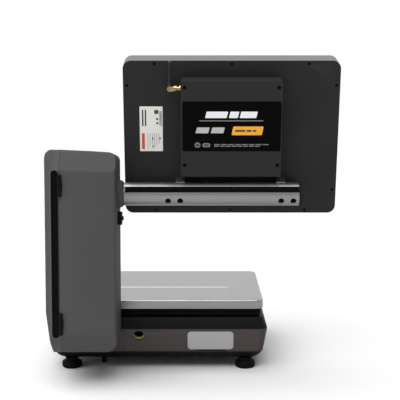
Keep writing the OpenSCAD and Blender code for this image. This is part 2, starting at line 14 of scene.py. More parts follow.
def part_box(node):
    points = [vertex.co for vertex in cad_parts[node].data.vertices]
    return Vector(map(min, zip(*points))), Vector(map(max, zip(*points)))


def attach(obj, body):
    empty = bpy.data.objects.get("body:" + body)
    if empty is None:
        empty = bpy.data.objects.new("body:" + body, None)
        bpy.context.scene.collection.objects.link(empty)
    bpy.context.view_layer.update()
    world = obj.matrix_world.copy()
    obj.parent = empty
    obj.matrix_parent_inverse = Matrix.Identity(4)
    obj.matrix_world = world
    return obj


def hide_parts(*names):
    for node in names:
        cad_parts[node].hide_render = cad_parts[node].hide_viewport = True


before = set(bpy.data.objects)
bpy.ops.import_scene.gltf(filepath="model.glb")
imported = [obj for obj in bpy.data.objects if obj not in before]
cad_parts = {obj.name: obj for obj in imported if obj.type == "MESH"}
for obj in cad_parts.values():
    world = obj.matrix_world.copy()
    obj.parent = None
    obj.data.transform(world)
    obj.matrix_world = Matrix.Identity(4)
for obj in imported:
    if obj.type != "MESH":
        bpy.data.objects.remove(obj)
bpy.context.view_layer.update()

LOG = logging.getLogger("label_scale")
MM = 0.001
SMOOTH_ANGLE = math.radians(32)
FLAT_ANGLE = math.radians(0.4)
WELD = 1e-6
TO_REAR = Matrix.Rotation(math.radians(-90), 4, "X")
TO_FRONT = Matrix.Rotation(math.radians(90), 4, "X")

Point2 = tuple[float, float]
Point3 = tuple[float, float, float]
Shape = tuple[Sequence[Point2], Point2]
Tree = bpy.types.NodeTree
Socket = bpy.types.NodeSocket
Object = bpy.types.Object

COAT_ROUGHNESS = 0.08
GLOSS_SWING = 0.06
# Lift of outside corners towards white: partly rubbed wear, partly painted highlight.
WEAR_AND_HIGHLIGHT_LIFT = 0.12
DUST_COLOR = (0.42, 0.4, 0.37, 1.0)
RELIEF_DEPTH = 0.0002
EDGE_POINTINESS = (0.52, 0.62)


# ---------------------------------------------------------------- finishes


class Grain(Enum):
    """How a surface is textured."""

    MOULDED = "moulded"
    POWDER = "powder"
    BRUSHED = "brushed"
    PLAIN = "plain"


class Direction(Enum):
    """The axis that brushed lines run along, as a stretch of the pattern."""

    X = (0.02, 1.0, 1.0)
    Y = (1.0, 0.02, 1.0)
    Z = (1.0, 1.0, 0.02)


def _socket(tree: Tree, name: str, way: str, kind: str, value: float | None = None):
    """Adds one named socket to a node group.

    Args:
        tree: The group.
        name: The socket's name.
        way: INPUT or OUTPUT.
        kind: The end of the socket class, such as Float.
        value: The default of an input.

    Returns:
        The new socket.
    """
    made = tree.interface.new_socket(name=name, in_out=way, socket_type="NodeSocket" + kind)
    if value is not None:
        made.default_value = value
    return made


class ShaderGroups:
    """Shared surface effects, each built once."""

    def __init__(self) -> None:
        """Builds the groups."""
        self.grain = self._grain_group()
        self.brushed = self._brushed_group()
        self.wear_and_highlight = self._wear_and_highlight_group()
        self.dust = self._dust_group()

    @staticmethod
    def _new(name: str) -> tuple[Tree, bpy.types.Node, bpy.types.Node]:
        """Starts a shader group and returns it with its input and output nodes."""
        tree = bpy.data.node_groups.new(name, "ShaderNodeTree")
        return tree, tree.nodes.new("NodeGroupInput"), tree.nodes.new("NodeGroupOutput")

    def _grain_group(self) -> Tree:
        """Fine moulded or sprayed grain: a height, and a slow drift of tone."""
        tree, start, end = self._new("surface_grain")
        _socket(tree, "Vector", "INPUT", "Vector")
        _socket(tree, "Scale", "INPUT", "Float", 900.0)
        _socket(tree, "Drift", "INPUT", "Float", 9.0)
        _socket(tree, "Height", "OUTPUT", "Float")
        _socket(tree, "Tone", "OUTPUT", "Float")
        fine = tree.nodes.new("ShaderNodeTexNoise")
        fine.inputs["Detail"].default_value = 3.0
        slow = tree.nodes.new("ShaderNodeTexNoise")
        slow.inputs["Detail"].default_value = 4.0
        mix = tree.nodes.new("ShaderNodeMath")
        mix.operation = "MULTIPLY_ADD"
        mix.inputs[1].default_value = 0.25
        link = tree.links.new
        link(start.outputs["Vector"], fine.inputs["Vector"])
        link(start.outputs["Scale"], fine.inputs["Scale"])
        link(start.outputs["Vector"], slow.inputs["Vector"])
        link(start.outputs["Drift"], slow.inputs["Scale"])
        link(fine.outputs["Fac"], mix.inputs[0])
        link(slow.outputs["Fac"], mix.inputs[2])
        link(fine.outputs["Fac"], end.inputs["Height"])
        link(mix.outputs[0], end.inputs["Tone"])
        return tree

    def _brushed_group(self) -> Tree:
        """Fine parallel lines along one axis."""
        tree, start, end = self._new("brushed_lines")
        _socket(tree, "Vector", "INPUT", "Vector")
        _socket(tree, "Stretch", "INPUT", "Vector")
        _socket(tree, "Scale", "INPUT", "Float", 1600.0)
        _socket(tree, "Height", "OUTPUT", "Float")
        _socket(tree, "Tone", "OUTPUT", "Float")
        stretch = tree.nodes.new("ShaderNodeVectorMath")
        stretch.operation = "MULTIPLY"
        lines = tree.nodes.new("ShaderNodeTexNoise")
        lines.inputs["Detail"].default_value = 4.0
        link = tree.links.new
        link(start.outputs["Vector"], stretch.inputs[0])
        link(start.outputs["Stretch"], stretch.inputs[1])
        link(stretch.outputs["Vector"], lines.inputs["Vector"])
        link(start.outputs["Scale"], lines.inputs["Scale"])
        link(lines.outputs["Fac"], end.inputs["Height"])
        link(lines.outputs["Fac"], end.inputs["Tone"])
        return tree

    def _wear_and_highlight_group(self) -> Tree:
        """Lighter outside corners, partly rubbed wear and partly painted highlight: a mask that is high on
        outside corners.
        """
        tree, start, end = self._new("edge_polish")
        _socket(tree, "Amount", "INPUT", "Float", 0.3)
        _socket(tree, "Mask", "OUTPUT", "Float")
        shape = tree.nodes.new("ShaderNodeNewGeometry")
        edge = tree.nodes.new("ShaderNodeMapRange")
        edge.inputs["From Min"].default_value, edge.inputs["From Max"].default_value = EDGE_POINTINESS
        scale = tree.nodes.new("ShaderNodeMath")
        scale.operation = "MULTIPLY"
        tree.links.new(shape.outputs["Pointiness"], edge.inputs["Value"])
        tree.links.new(edge.outputs["Result"], scale.inputs[0])
        tree.links.new(start.outputs["Amount"], scale.inputs[1])
        tree.links.new(scale.outputs[0], end.inputs["Mask"])
        return tree

    def _dust_group(self) -> Tree:
        """A faint film of dust that settles on faces that look up."""
        tree, start, end = self._new("settled_dust")
        _socket(tree, "Vector", "INPUT", "Vector")
        _socket(tree, "Amount", "INPUT", "Float", 0.05)
        _socket(tree, "Mask", "OUTPUT", "Float")
        shape = tree.nodes.new("ShaderNodeNewGeometry")
        split = tree.nodes.new("ShaderNodeSeparateXYZ")
        up = tree.nodes.new("ShaderNodeMapRange")
        up.inputs["From Min"].default_value = 0.3
        patch = tree.nodes.new("ShaderNodeTexNoise")
        patch.inputs["Scale"].default_value = 60.0
        both = tree.nodes.new("ShaderNodeMath")
        both.operation = "MULTIPLY"
        scale = tree.nodes.new("ShaderNodeMath")
        scale.operation = "MULTIPLY"
        link = tree.links.new
        link(shape.outputs["Normal"], split.inputs[0])
        link(split.outputs["Z"], up.inputs["Value"])
        link(start.outputs["Vector"], patch.inputs["Vector"])
        link(up.outputs["Result"], both.inputs[0])
        link(patch.outputs["Fac"], both.inputs[1])
        link(both.outputs[0], scale.inputs[0])
        link(start.outputs["Amount"], scale.inputs[1])
        link(scale.outputs[0], end.inputs["Mask"])
        return tree


@dataclass(frozen=True)
class Finish:
    """One surface finish of the scale.

    Attributes:
        slot: The record's material slot, which also names the material.
        color: Linear base colour.
        roughness: Middle roughness.
        metallic: 0 for plastic and paint, 1 for bare metal.
        grain: How the surface is textured.
        scale: Grain size as cycles per metre.
        bump: Strength of the relief.
        tone: How far the colour drifts, as a share.
        polish: How much lighter the outside corners are, as rubbed wear and painted highlight.
        dust: How much dust lies on faces that look up.
        coat: Clear coat over the colour.
        specular: Strength of the shine on a non-metal.
        along: The axis of brushed lines.
    """

    slot: str
    color: tuple[float, float, float]
    roughness: float = 0.5
    metallic: float = 0.0
    grain: Grain = Grain.MOULDED
    scale: float = 1100.0
    bump: float = 0.12
    tone: float = 0.08
    polish: float = 0.15
    dust: float = 0.04
    coat: float = 0.0
    specular: float = 0.3
    along: Direction = Direction.X

    def material(self, groups: ShaderGroups) -> bpy.types.Material:
        """Builds the finish as a node material.

        Args:
            groups: The shared surface effects.

        Returns:
            The material.
        """
        made = bpy.data.materials.new(self.slot)
        made.use_nodes = True
        tree = made.node_tree
        shader = tree.nodes["Principled BSDF"]
        shader.inputs["Metallic"].default_value = self.metallic
        shader.inputs["Coat Weight"].default_value = self.coat
        shader.inputs["Coat Roughness"].default_value = COAT_ROUGHNESS
        shader.inputs["Specular IOR Level"].default_value = self.specular
        place = tree.nodes.new("ShaderNodeTexCoord")
        link = tree.links.new
        texture = tree.nodes.new("ShaderNodeGroup")
        if self.grain is Grain.BRUSHED:
            texture.node_tree = groups.brushed
            texture.inputs["Stretch"].default_value = self.along.value
        else:
            texture.node_tree = groups.grain
        texture.inputs["Scale"].default_value = self.scale
        link(place.outputs["Object"], texture.inputs["Vector"])
        drift = self._mix(tree, self._shade(1 - self.tone), self._shade(1 + self.tone))
        link(texture.outputs["Tone"], drift.inputs["Factor"])
        # Outside corners lifted towards white: rubbed wear and painted highlight.
        wear_and_highlight = tree.nodes.new("ShaderNodeGroup")
        wear_and_highlight.node_tree = groups.wear_and_highlight
        wear_and_highlight.inputs["Amount"].default_value = self.polish
        worn_and_highlighted = self._mix(tree, None, self._lift(WEAR_AND_HIGHLIGHT_LIFT))
        link(wear_and_highlight.outputs["Mask"], worn_and_highlighted.inputs["Factor"])
        link(drift.outputs[2], worn_and_highlighted.inputs[6])
        film = tree.nodes.new("ShaderNodeGroup")
        film.node_tree = groups.dust
        film.inputs["Amount"].default_value = self.dust
        link(place.outputs["Object"], film.inputs["Vector"])
        dusty = self._mix(tree, None, DUST_COLOR)
        link(film.outputs["Mask"], dusty.inputs["Factor"])
        link(worn_and_highlighted.outputs[2], dusty.inputs[6])
        link(dusty.outputs[2], shader.inputs["Base Color"])
        gloss = tree.nodes.new("ShaderNodeMapRange")
        gloss.inputs["To Min"].default_value = max(0.03, self.roughness - GLOSS_SWING)
        gloss.inputs["To Max"].default_value = min(1.0, self.roughness + GLOSS_SWING)
        link(texture.outputs["Tone"], gloss.inputs["Value"])
        link(gloss.outputs["Result"], shader.inputs["Roughness"])
        if self.bump > 0 and self.grain is not Grain.PLAIN:
            relief = tree.nodes.new("ShaderNodeBump")
            relief.inputs["Strength"].default_value = self.bump
            relief.inputs["Distance"].default_value = RELIEF_DEPTH
            link(texture.outputs["Height"], relief.inputs["Height"])
            link(relief.outputs["Normal"], shader.inputs["Normal"])
        return made

    def _shade(self, share: float) -> tuple[float, float, float, float]:
        """The base colour times a share."""
        return (*(min(1.0, c * share) for c in self.color), 1.0)

    def _lift(self, amount: float) -> tuple[float, float, float, float]:
        """The base colour moved towards white."""
        return (*(c + (1 - c) * amount for c in self.color), 1.0)

    @staticmethod
    def _mix(tree: Tree, low: tuple | None, high: tuple) -> bpy.types.Node:
        """A colour mix from low to high."""
        node = tree.nodes.new("ShaderNodeMix")
        node.data_type = "RGBA"
        if low is not None:
            node.inputs[6].default_value = low
        node.inputs[7].default_value = high
        return node


def clean_black(slot: str, shade: float, roughness: float, **more: object) -> Finish:
    """A near-black finish that shows no dust and almost no lightened edges, which are rubbed wear and painted
    highlight.
    """
    return Finish(slot, (shade,) * 3, roughness, dust=0.0, **{"polish": 0.0, **more})


FINISHES: tuple[Finish, ...] = (
    Finish("charcoal_plastic", (0.072, 0.072, 0.072), 0.55, bump=0.22, scale=1500, specular=0.1),
    Finish("base_plastic", (0.064, 0.054, 0.052), 0.5, bump=0.22, scale=1500, specular=0.15),
    Finish("dark_plastic", (0.005, 0.005, 0.0052), 0.42, bump=0.2, scale=1500, dust=0.0, specular=0.1),
    clean_black("black_trim", 0.003, 0.4, scale=900, bump=0.05, specular=0.08),
    clean_black("hinge_black", 0.004, 0.4, grain=Grain.POWDER, polish=0.05, specular=0.12),
    Finish("pin_steel", (0.5, 0.5, 0.52), 0.3, 1.0, Grain.BRUSHED, bump=0.05),
    Finish("stainless", (0.52, 0.525, 0.53), 0.33, 1.0, Grain.BRUSHED, 1400, 0.12, 0.1, 0.1, 0.0),
    clean_black("tray_black", 0.003, 0.5, grain=Grain.POWDER, specular=0.05),
    Finish("plate_silver", (0.78, 0.78, 0.78), 0.42, 1.0, Grain.POWDER, 2200, 0.1, 0.05, 0.0, 0.0),
    Finish("cast_alloy", (0.45, 0.46, 0.47), 0.5, 1.0, Grain.POWDER, 700, 0.2),
    clean_black("foot_rubber", 0.004, 0.6, bump=0.2, scale=700, polish=0.05, specular=0.1),
    clean_black("level_cup", 0.002, 0.5, bump=0.03, specular=0.03),
    Finish("level_green", (0.72, 0.82, 0.25), 0.2, grain=Grain.PLAIN, tone=0.2),
    Finish("circuit_board", (0.02, 0.12, 0.05), 0.4, scale=500, tone=0.3),
    Finish("supply_case", (0.5, 0.5, 0.5), 0.4, 1.0, Grain.BRUSHED),
    Finish("jack_black", (0.01, 0.01, 0.01), 0.4),
    Finish("frame_steel", (0.5, 0.5, 0.51), 0.38, 1.0, Grain.BRUSHED, along=Direction.Z),
    Finish("hub_blue", (0.03, 0.07, 0.2), 0.4),
    Finish("cardboard", (0.4, 0.28, 0.16), 0.85, scale=600, bump=0.3, tone=0.15),
    Finish("label_paper", (0.82, 0.81, 0.77), 0.75, grain=Grain.BRUSHED, scale=2600, bump=0.3),
    Finish("gear_nylon", (0.7, 0.68, 0.6), 0.4),
    Finish("motor_black", (0.03, 0.03, 0.035), 0.4, grain=Grain.POWDER),
    Finish("pinion_brass", (0.62, 0.42, 0.12), 0.28, 1.0, Grain.BRUSHED),
    Finish("head_alloy", (0.55, 0.56, 0.58), 0.35, 1.0, Grain.BRUSHED),
    clean_black("knob_black", 0.004, 0.4, bump=0.15, polish=0.15, specular=0.15),
    Finish("collar_plastic", (0.05, 0.05, 0.05), 0.5),
    Finish("rail_aluminium", (0.5, 0.5, 0.505), 0.36, 1.0, Grain.BRUSHED, 1800, 0.1, 0.06, 0.1, 0.0),
    Finish("bracket_grey", (0.22, 0.22, 0.225), 0.45, 1.0, Grain.POWDER),
    Finish("frame_silver", (0.29, 0.29, 0.292), 0.42, 1.0, Grain.POWDER, 1500, 0.08, 0.05, 0.1, 0.0),
    Finish(
        "cover_black", (0.021, 0.021, 0.0215), 0.5,
        grain=Grain.POWDER, scale=1300, bump=0.2, dust=0.0, specular=0.15,
    ),
    Finish(
        "box_black", (0.022, 0.022, 0.0225), 0.46,
        grain=Grain.POWDER, scale=1300, bump=0.2, dust=0.0, polish=0.0, specular=0.2,
    ),
    Finish("screen_glass", (0.006, 0.006, 0.008), 0.06, grain=Grain.PLAIN, coat=1.0, dust=0.0),
    Finish("panel_metal", (0.4, 0.4, 0.42), 0.4, 1.0, Grain.BRUSHED),
    clean_black("screw_black", 0.001, 0.35, grain=Grain.POWDER, polish=0.05, specular=0.1),
    Finish("plate_black", (0.0028, 0.0026, 0.0024), 0.45, bump=0.03, dust=0.0, polish=0.0, specular=0.03),
    Finish("label_white", (0.78, 0.77, 0.73), 0.5, bump=0.04, tone=0.02, polish=0.0),
    Finish("brass", (0.58, 0.43, 0.19), 0.25, 1.0, Grain.BRUSHED, 1500, 0.05, 0.12, 0.3, 0.0),
    # The rod's lightened edges are a painted highlight on the black rod.
    Finish("antenna_black", (0.012, 0.012, 0.012), 0.3, bump=0.1, polish=0.3, coat=0.6),
)

INKS: tuple[Finish, ...] = (
    Finish("ink_white", (0.82, 0.84, 0.86), 0.45, grain=Grain.PLAIN, tone=0.03, polish=0.0),
    Finish("ink_grey", (0.2, 0.2, 0.2), 0.45, grain=Grain.PLAIN, tone=0.05, polish=0.0),
    Finish("ink_silver", (0.45, 0.46, 0.47), 0.4, grain=Grain.PLAIN, tone=0.1, polish=0.0),
    Finish("ink_amber", (0.86, 0.4, 0.025), 0.42, grain=Grain.PLAIN, tone=0.04, polish=0.0),
    Finish("ink_dark", (0.06, 0.06, 0.06), 0.5, grain=Grain.PLAIN, tone=0.05, polish=0.0),
    Finish("ink_red", (0.62, 0.07, 0.04), 0.5, grain=Grain.PLAIN, tone=0.05, polish=0.0),
)


# ---------------------------------------------------------------- mesh tools


def set_shading(mesh: bpy.types.Mesh, angle: float = SMOOTH_ANGLE) -> None:
    """Shades a mesh smooth, with sharp edges where faces turn by more than an angle."""
    bm = bmesh.new()
    bm.from_mesh(mesh)
    for face in bm.faces:
        face.smooth = True
    for edge in bm.edges:
        edge.smooth = len(edge.link_faces) == 2 and edge.calc_face_angle(0.0) < angle
    bm.to_mesh(mesh)
    bm.free()


def as_object(name: str, mesh: bpy.types.Mesh) -> Object:
    """Links a mesh to the scene as an object."""
    made = bpy.data.objects.new(name, mesh)
    bpy.context.scene.collection.objects.link(made)
    return made


def from_bmesh(name: str, bm: bmesh.types.BMesh, outward: bool = True) -> Object:
    """Makes an object of a bmesh built in millimetres.

    Args:
        name: The object's name.
        bm: The shape, which is freed.
        outward: Whether to turn the faces outwards.

    Returns:
        The object, in metres.
    """
    bmesh.ops.remove_doubles(bm, verts=bm.verts, dist=0.002)
    bmesh.ops.dissolve_degenerate(bm, edges=bm.edges, dist=0.001)
    if outward:
        bmesh.ops.recalc_face_normals(bm, faces=bm.faces)
    bmesh.ops.scale(bm, vec=(MM, MM, MM), verts=bm.verts)
    mesh = bpy.data.meshes.new(name)
    bm.to_mesh(mesh)
    bm.free()
    set_shading(mesh)
    return as_object(name, mesh)


def applied(obj: Object, reshade: bool = True) -> Object:
    """Bakes an object's modifiers into its mesh.

    Args:
        obj: The object.
        reshade: Whether sharp edges are marked again.

    Returns:
        The same object.
    """
    bpy.context.view_layer.update()
    graph = bpy.context.evaluated_depsgraph_get()
    mesh = bpy.data.meshes.new_from_object(obj.evaluated_get(graph), depsgraph=graph)
    obj.modifiers.clear()
    old = obj.data
    obj.data = mesh
    if old.users == 0:
        bpy.data.meshes.remove(old)
    if reshade:
        set_shading(obj.data)
    return obj


def bevelled(obj: Object, width: float, steps: int = 3, angle: float = 28.0) -> Object:
    """Rounds the sharp edges of an object.

    Args:
        obj: The object.
        width: Width of the rounding in millimetres.
        steps: Segments across it.
        angle: Edges that turn by more than this are rounded.

    Returns:
        The same object.
    """
    rounding = obj.modifiers.new("rounding", "BEVEL")
    rounding.width = width * MM
    rounding.segments = steps
    rounding.limit_method = "ANGLE"
    rounding.angle_limit = math.radians(angle)
    applied(obj)
    flatten = obj.modifiers.new("flatten", "WEIGHTED_NORMAL")
    flatten.keep_sharp = True
    flatten.weight = 100
    return applied(obj, False)


def cut(obj: Object, tool: Object, operation: str = "DIFFERENCE") -> Object:
    """Cuts an object with a tool, which is then removed."""
    change = obj.modifiers.new("cut", "BOOLEAN")
    change.operation = operation
    change.solver = "EXACT"
    change.object = tool
    applied(obj)
    bpy.data.objects.remove(tool)
    return obj


def walled(obj: Object, wall: float) -> Object:
    """Gives an open skin a wall, inwards, in millimetres."""
    wall_up = obj.modifiers.new("wall", "SOLIDIFY")
    wall_up.thickness = wall * MM
    wall_up.offset = -1.0
    wall_up.use_even_offset = True
    return applied(obj)


def cad_copy(node: str, width: float = 0.4, steps: int = 2) -> Object:
    """Copies a CAD node, cleans its triangles and rounds its edges.

    Args:
        node: The CAD node.
        width: Width of the rounding in millimetres.
        steps: Segments across it.

    Returns:
        The copy.
    """
    bm = bmesh.new()
    bm.from_mesh(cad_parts[node].data)
    bmesh.ops.remove_doubles(bm, verts=bm.verts, dist=WELD)
    bmesh.ops.dissolve_limit(bm, angle_limit=FLAT_ANGLE, verts=bm.verts, edges=bm.edges)
    mesh = bpy.data.meshes.new(node + "_skin")
    bm.to_mesh(mesh)
    bm.free()
    set_shading(mesh)
    return bevelled(as_object(node + "_skin", mesh), width, steps)


def rounded_outline(corners: Sequence[Point2], radii: Sequence[float], steps: int = 6) -> list[Point2]:
    """Rounds each corner of a convex outline.

    Args:
        corners: The outline's corners in order.
        radii: One rounding radius for each corner.
        steps: Points round each corner.

    Returns:
        The rounded outline.
    """
    out: list[Point2] = []
    count = len(corners)
    for i, radius in enumerate(radii):
        here = Vector(corners[i])
        back = (Vector(corners[i - 1]) - here).normalized()
        ahead = (Vector(corners[(i + 1) % count]) - here).normalized()
        half = back.angle(ahead) / 2
        reach = radius / math.tan(half)
        centre = here + (back + ahead).normalized() * (radius / math.sin(half))
        first, last = here + back * reach, here + ahead * reach
        start = (first - centre).to_3d()
        stop = (last - centre).to_3d()
        turn = start.angle(stop) if radius > 0 else 0.0
        sense = 1.0 if start.cross(stop).z >= 0 else -1.0
        for k in range(steps + 1):
            spin = Matrix.Rotation(sense * turn * k / steps, 2)
            point = centre + spin @ start.to_2d()
            out.append((point.x, point.y))
    return out


def rounded_rect(width: float, height: float, radius: float, steps: int = 6) -> list[Point2]:
    """Outline of a rectangle with round corners, centred."""
    x, y = width / 2, height / 2
    return rounded_outline([(-x, -y), (x, -y), (x, y), (-x, y)], [radius] * 4, steps)


def loft(name: str, rings: Sequence[Sequence[Vector]], close_first: bool, close_last: bool) -> Object:
    """Skins a row of rings that have the same number of points.

    Args:
        name: The object's name.
        rings: Closed rings of points in millimetres.
        close_first: Whether the first ring gets a face.
        close_last: Whether the last ring gets a face.

    Returns:
        The object.
    """
    bm = bmesh.new()
    rows = [[bm.verts.new(p) for p in ring] for ring in rings]
    count = len(rows[0])
    for low, high in zip(rows, rows[1:]):
        for i in range(count):
            j = (i + 1) % count
            bm.faces.new((low[i], low[j], high[j], high[i]))
    if close_first:
        bm.faces.new(rows[0][::-1])
    if close_last:
        bm.faces.new(rows[-1])
    return from_bmesh(name, bm)


def slab(name: str, outline: Sequence[Point2], low: float, high: float, edge: float = 0.0) -> Object:
    """A flat plate: an outline in X and Y thickened along Z, with its upper edge softened.

    Args:
        name: The object's name.
        outline: The plate's outline in millimetres.
        low: Lower face.
        high: Upper face.
        edge: Width of the softened edge.

    Returns:
        The object.
    """
    made = loft(name, [[Vector((x, y, z)) for x, y in outline] for z in (low, high)], True, True)
    return bevelled(made, edge, 2, 50) if edge > 0 else made


def lathe(name: str, profile: Sequence[Point2], turn: Matrix, steps: int = 64) -> Object:
    """Spins a profile of (radius, height) about Z, then places it.

    Args:
        name: The object's name.
        profile: Points from the bottom centre to the top centre.
        turn: Placement in metres.
        steps: Facets round the axis.

    Returns:
        The object.
    """
    bm = bmesh.new()
    rows = []
    for k in range(steps):
        angle = 2 * math.pi * k / steps
        rows.append([bm.verts.new((r * math.cos(angle), r * math.sin(angle), z)) for r, z in profile])
    for k in range(steps):
        here, after = rows[k], rows[(k + 1) % steps]
        for i in range(len(profile) - 1):
            bm.faces.new((here[i], after[i], after[i + 1], here[i + 1]))
    made = from_bmesh(name, bm)
    made.data.transform(turn)
    return made


def bar(name: str, radius: float, low: float, high: float, turn: Matrix, steps: int = 32) -> Object:
    """A plain round bar along Z, then placed."""
    return lathe(name, [(0, low), (radius, low), (radius, high), (0, high)], turn, steps)


def placed(obj: Object, turn: Matrix) -> Object:
    """Moves an object's mesh and leaves the object at the origin."""
    obj.data.transform(turn)
    obj.data.update()
    return obj


def shift(x: float, y: float, z: float) -> Matrix:
    """A move given in millimetres."""
    return Matrix.Translation((x * MM, y * MM, z * MM))


def merged(name: str, parts: Sequence[Object]) -> Object:
    """Joins separate solids of one finish into one piece."""
    bm = bmesh.new()
    for part in parts:
        bm.from_mesh(part.data)
    mesh = bpy.data.meshes.new(name)
    bm.to_mesh(mesh)
    bm.free()
    for part in parts:
        bpy.data.objects.remove(part)
    set_shading(mesh)
    return as_object(name, mesh)


# ---------------------------------------------------------------- repeated pieces


class RepeatTrees:
    """Geometry node trees for screws, ribs and printed bars."""

    def __init__(self) -> None:
        """Builds the trees."""
        self.screws = self._screw_tree()
        self.ribs = self._rib_tree()
        self.bars = self._bar_tree()

    @staticmethod
    def _start(name: str, sizes: dict[str, float], whole: dict[str, int]) -> tuple:
        """Starts a tree with its sizes, a material and a geometry output."""
        tree = bpy.data.node_groups.new(name, "GeometryNodeTree")
        _socket(tree, "Geometry", "INPUT", "Geometry")
        for size, value in sizes.items():
            _socket(tree, size, "INPUT", "Float", value)
        for size, value in whole.items():
            _socket(tree, size, "INPUT", "Int", value)
        _socket(tree, "Material", "INPUT", "Material")
        _socket(tree, "Geometry", "OUTPUT", "Geometry")
        return tree, tree.nodes.new("NodeGroupInput"), tree.nodes.new("NodeGroupOutput")

    @staticmethod
    def _end(tree: Tree, source: Socket, start, end) -> None:
        """Realizes the instances and sets their material."""
        real = tree.nodes.new("GeometryNodeRealizeInstances")
        paint = tree.nodes.new("GeometryNodeSetMaterial")
        tree.links.new(source, real.inputs["Geometry"])
        tree.links.new(real.outputs["Geometry"], paint.inputs["Geometry"])
        tree.links.new(start.outputs["Material"], paint.inputs["Material"])
        tree.links.new(paint.outputs["Geometry"], end.inputs["Geometry"])

    def _screw_tree(self) -> Tree:
        """A socket-head screw on each point, its axis along Z."""
        sizes = {"Head Radius": 0.0026, "Head Height": 0.0015, "Socket Radius": 0.0013}
        tree, start, end = self._start("socket_screws", sizes, {})
        head = tree.nodes.new("GeometryNodeMeshCylinder")
        head.inputs["Vertices"].default_value = 28
        hole = tree.nodes.new("GeometryNodeMeshCylinder")
        hole.inputs["Vertices"].default_value = 6
        lift = tree.nodes.new("GeometryNodeTransform")
        raise_by = tree.nodes.new("ShaderNodeCombineXYZ")
        carve = tree.nodes.new("GeometryNodeMeshBoolean")
        carve.operation = "DIFFERENCE"
        spread = tree.nodes.new("GeometryNodeInstanceOnPoints")
        link = tree.links.new
        link(start.outputs["Head Radius"], head.inputs["Radius"])
        link(start.outputs["Head Height"], head.inputs["Depth"])
        link(start.outputs["Socket Radius"], hole.inputs["Radius"])
        link(start.outputs["Head Height"], hole.inputs["Depth"])
        half = tree.nodes.new("ShaderNodeMath")
        half.operation = "MULTIPLY"
        half.inputs[1].default_value = 0.4
        link(start.outputs["Head Height"], half.inputs[0])
        link(half.outputs[0], raise_by.inputs["Z"])
        link(raise_by.outputs[0], lift.inputs["Translation"])
        link(hole.outputs["Mesh"], lift.inputs["Geometry"])
        link(head.outputs["Mesh"], carve.inputs["Mesh 1"])
        link(lift.outputs["Geometry"], carve.inputs["Mesh 2"])
        link(start.outputs["Geometry"], spread.inputs["Points"])
        link(carve.outputs["Mesh"], spread.inputs["Instance"])
        self._end(tree, spread.outputs["Instances"], start, end)
        return tree

    def _rib_tree(self) -> Tree:
        """A ring of upright ribs about Z."""
        sizes = {"Radius": 0.017, "Rib Width": 0.0012, "Rib Depth": 0.001, "Rib Height": 0.006}
        tree, start, end = self._start("rib_ring", sizes, {"Count": 36})
        ring = tree.nodes.new("GeometryNodeMeshCircle")
        rib = tree.nodes.new("GeometryNodeMeshCube")
        size = tree.nodes.new("ShaderNodeCombineXYZ")
        spread = tree.nodes.new("GeometryNodeInstanceOnPoints")
        index = tree.nodes.new("GeometryNodeInputIndex")
        step = tree.nodes.new("ShaderNodeMath")
        step.operation = "DIVIDE"
        step.inputs[0].default_value = 2 * math.pi
        angle = tree.nodes.new("ShaderNodeMath")
        angle.operation = "MULTIPLY"
        turn = tree.nodes.new("ShaderNodeCombineXYZ")
        spin = tree.nodes.new("FunctionNodeEulerToRotation")
        link = tree.links.new
        link(start.outputs["Count"], ring.inputs["Vertices"])
        link(start.outputs["Radius"], ring.inputs["Radius"])
        link(start.outputs["Rib Depth"], size.inputs["X"])
        link(start.outputs["Rib Width"], size.inputs["Y"])
        link(start.outputs["Rib Height"], size.inputs["Z"])
        link(size.outputs[0], rib.inputs["Size"])
        link(start.outputs["Count"], step.inputs[1])
        link(index.outputs["Index"], angle.inputs[0])
        link(step.outputs[0], angle.inputs[1])
        link(angle.outputs[0], turn.inputs["Z"])
        link(turn.outputs[0], spin.inputs[0])
        link(ring.outputs["Mesh"], spread.inputs["Points"])
        link(rib.outputs["Mesh"], spread.inputs["Instance"])
        link(spin.outputs[0], spread.inputs["Rotation"])
        self._end(tree, spread.outputs["Instances"], start, end)
        return tree

    def _bar_tree(self) -> Tree:
        """A row of thin printed bars along X whose widths vary by a fixed seed."""
        sizes = {"Pitch": 0.001, "Bar Width": 0.0006, "Bar Length": 0.008, "Ink": 0.0001}
        tree, start, end = self._start("printed_bars", sizes, {"Count": 20, "Seed": 3})
        row = tree.nodes.new("GeometryNodeMeshLine")
        step = tree.nodes.new("ShaderNodeCombineXYZ")
        bar = tree.nodes.new("GeometryNodeMeshCube")
        size = tree.nodes.new("ShaderNodeCombineXYZ")
        vary = tree.nodes.new("FunctionNodeRandomValue")
        vary.data_type = "FLOAT"
        vary.inputs[2].default_value = 0.45
        vary.inputs[3].default_value = 1.3
        stretch = tree.nodes.new("ShaderNodeCombineXYZ")
        stretch.inputs["Y"].default_value = 1.0
        stretch.inputs["Z"].default_value = 1.0
        spread = tree.nodes.new("GeometryNodeInstanceOnPoints")
        link = tree.links.new
        link(start.outputs["Count"], row.inputs["Count"])
        link(start.outputs["Pitch"], step.inputs["X"])
        link(step.outputs[0], row.inputs["Offset"])
        link(start.outputs["Bar Width"], size.inputs["X"])
        link(start.outputs["Bar Length"], size.inputs["Y"])
        link(start.outputs["Ink"], size.inputs["Z"])
        link(size.outputs[0], bar.inputs["Size"])
        link(start.outputs["Seed"], vary.inputs["Seed"])
        link(vary.outputs[1], stretch.inputs["X"])
        link(row.outputs["Mesh"], spread.inputs["Points"])
        link(bar.outputs["Mesh"], spread.inputs["Instance"])
        link(stretch.outputs[0], spread.inputs["Scale"])
        self._end(tree, spread.outputs["Instances"], start, end)
        return tree

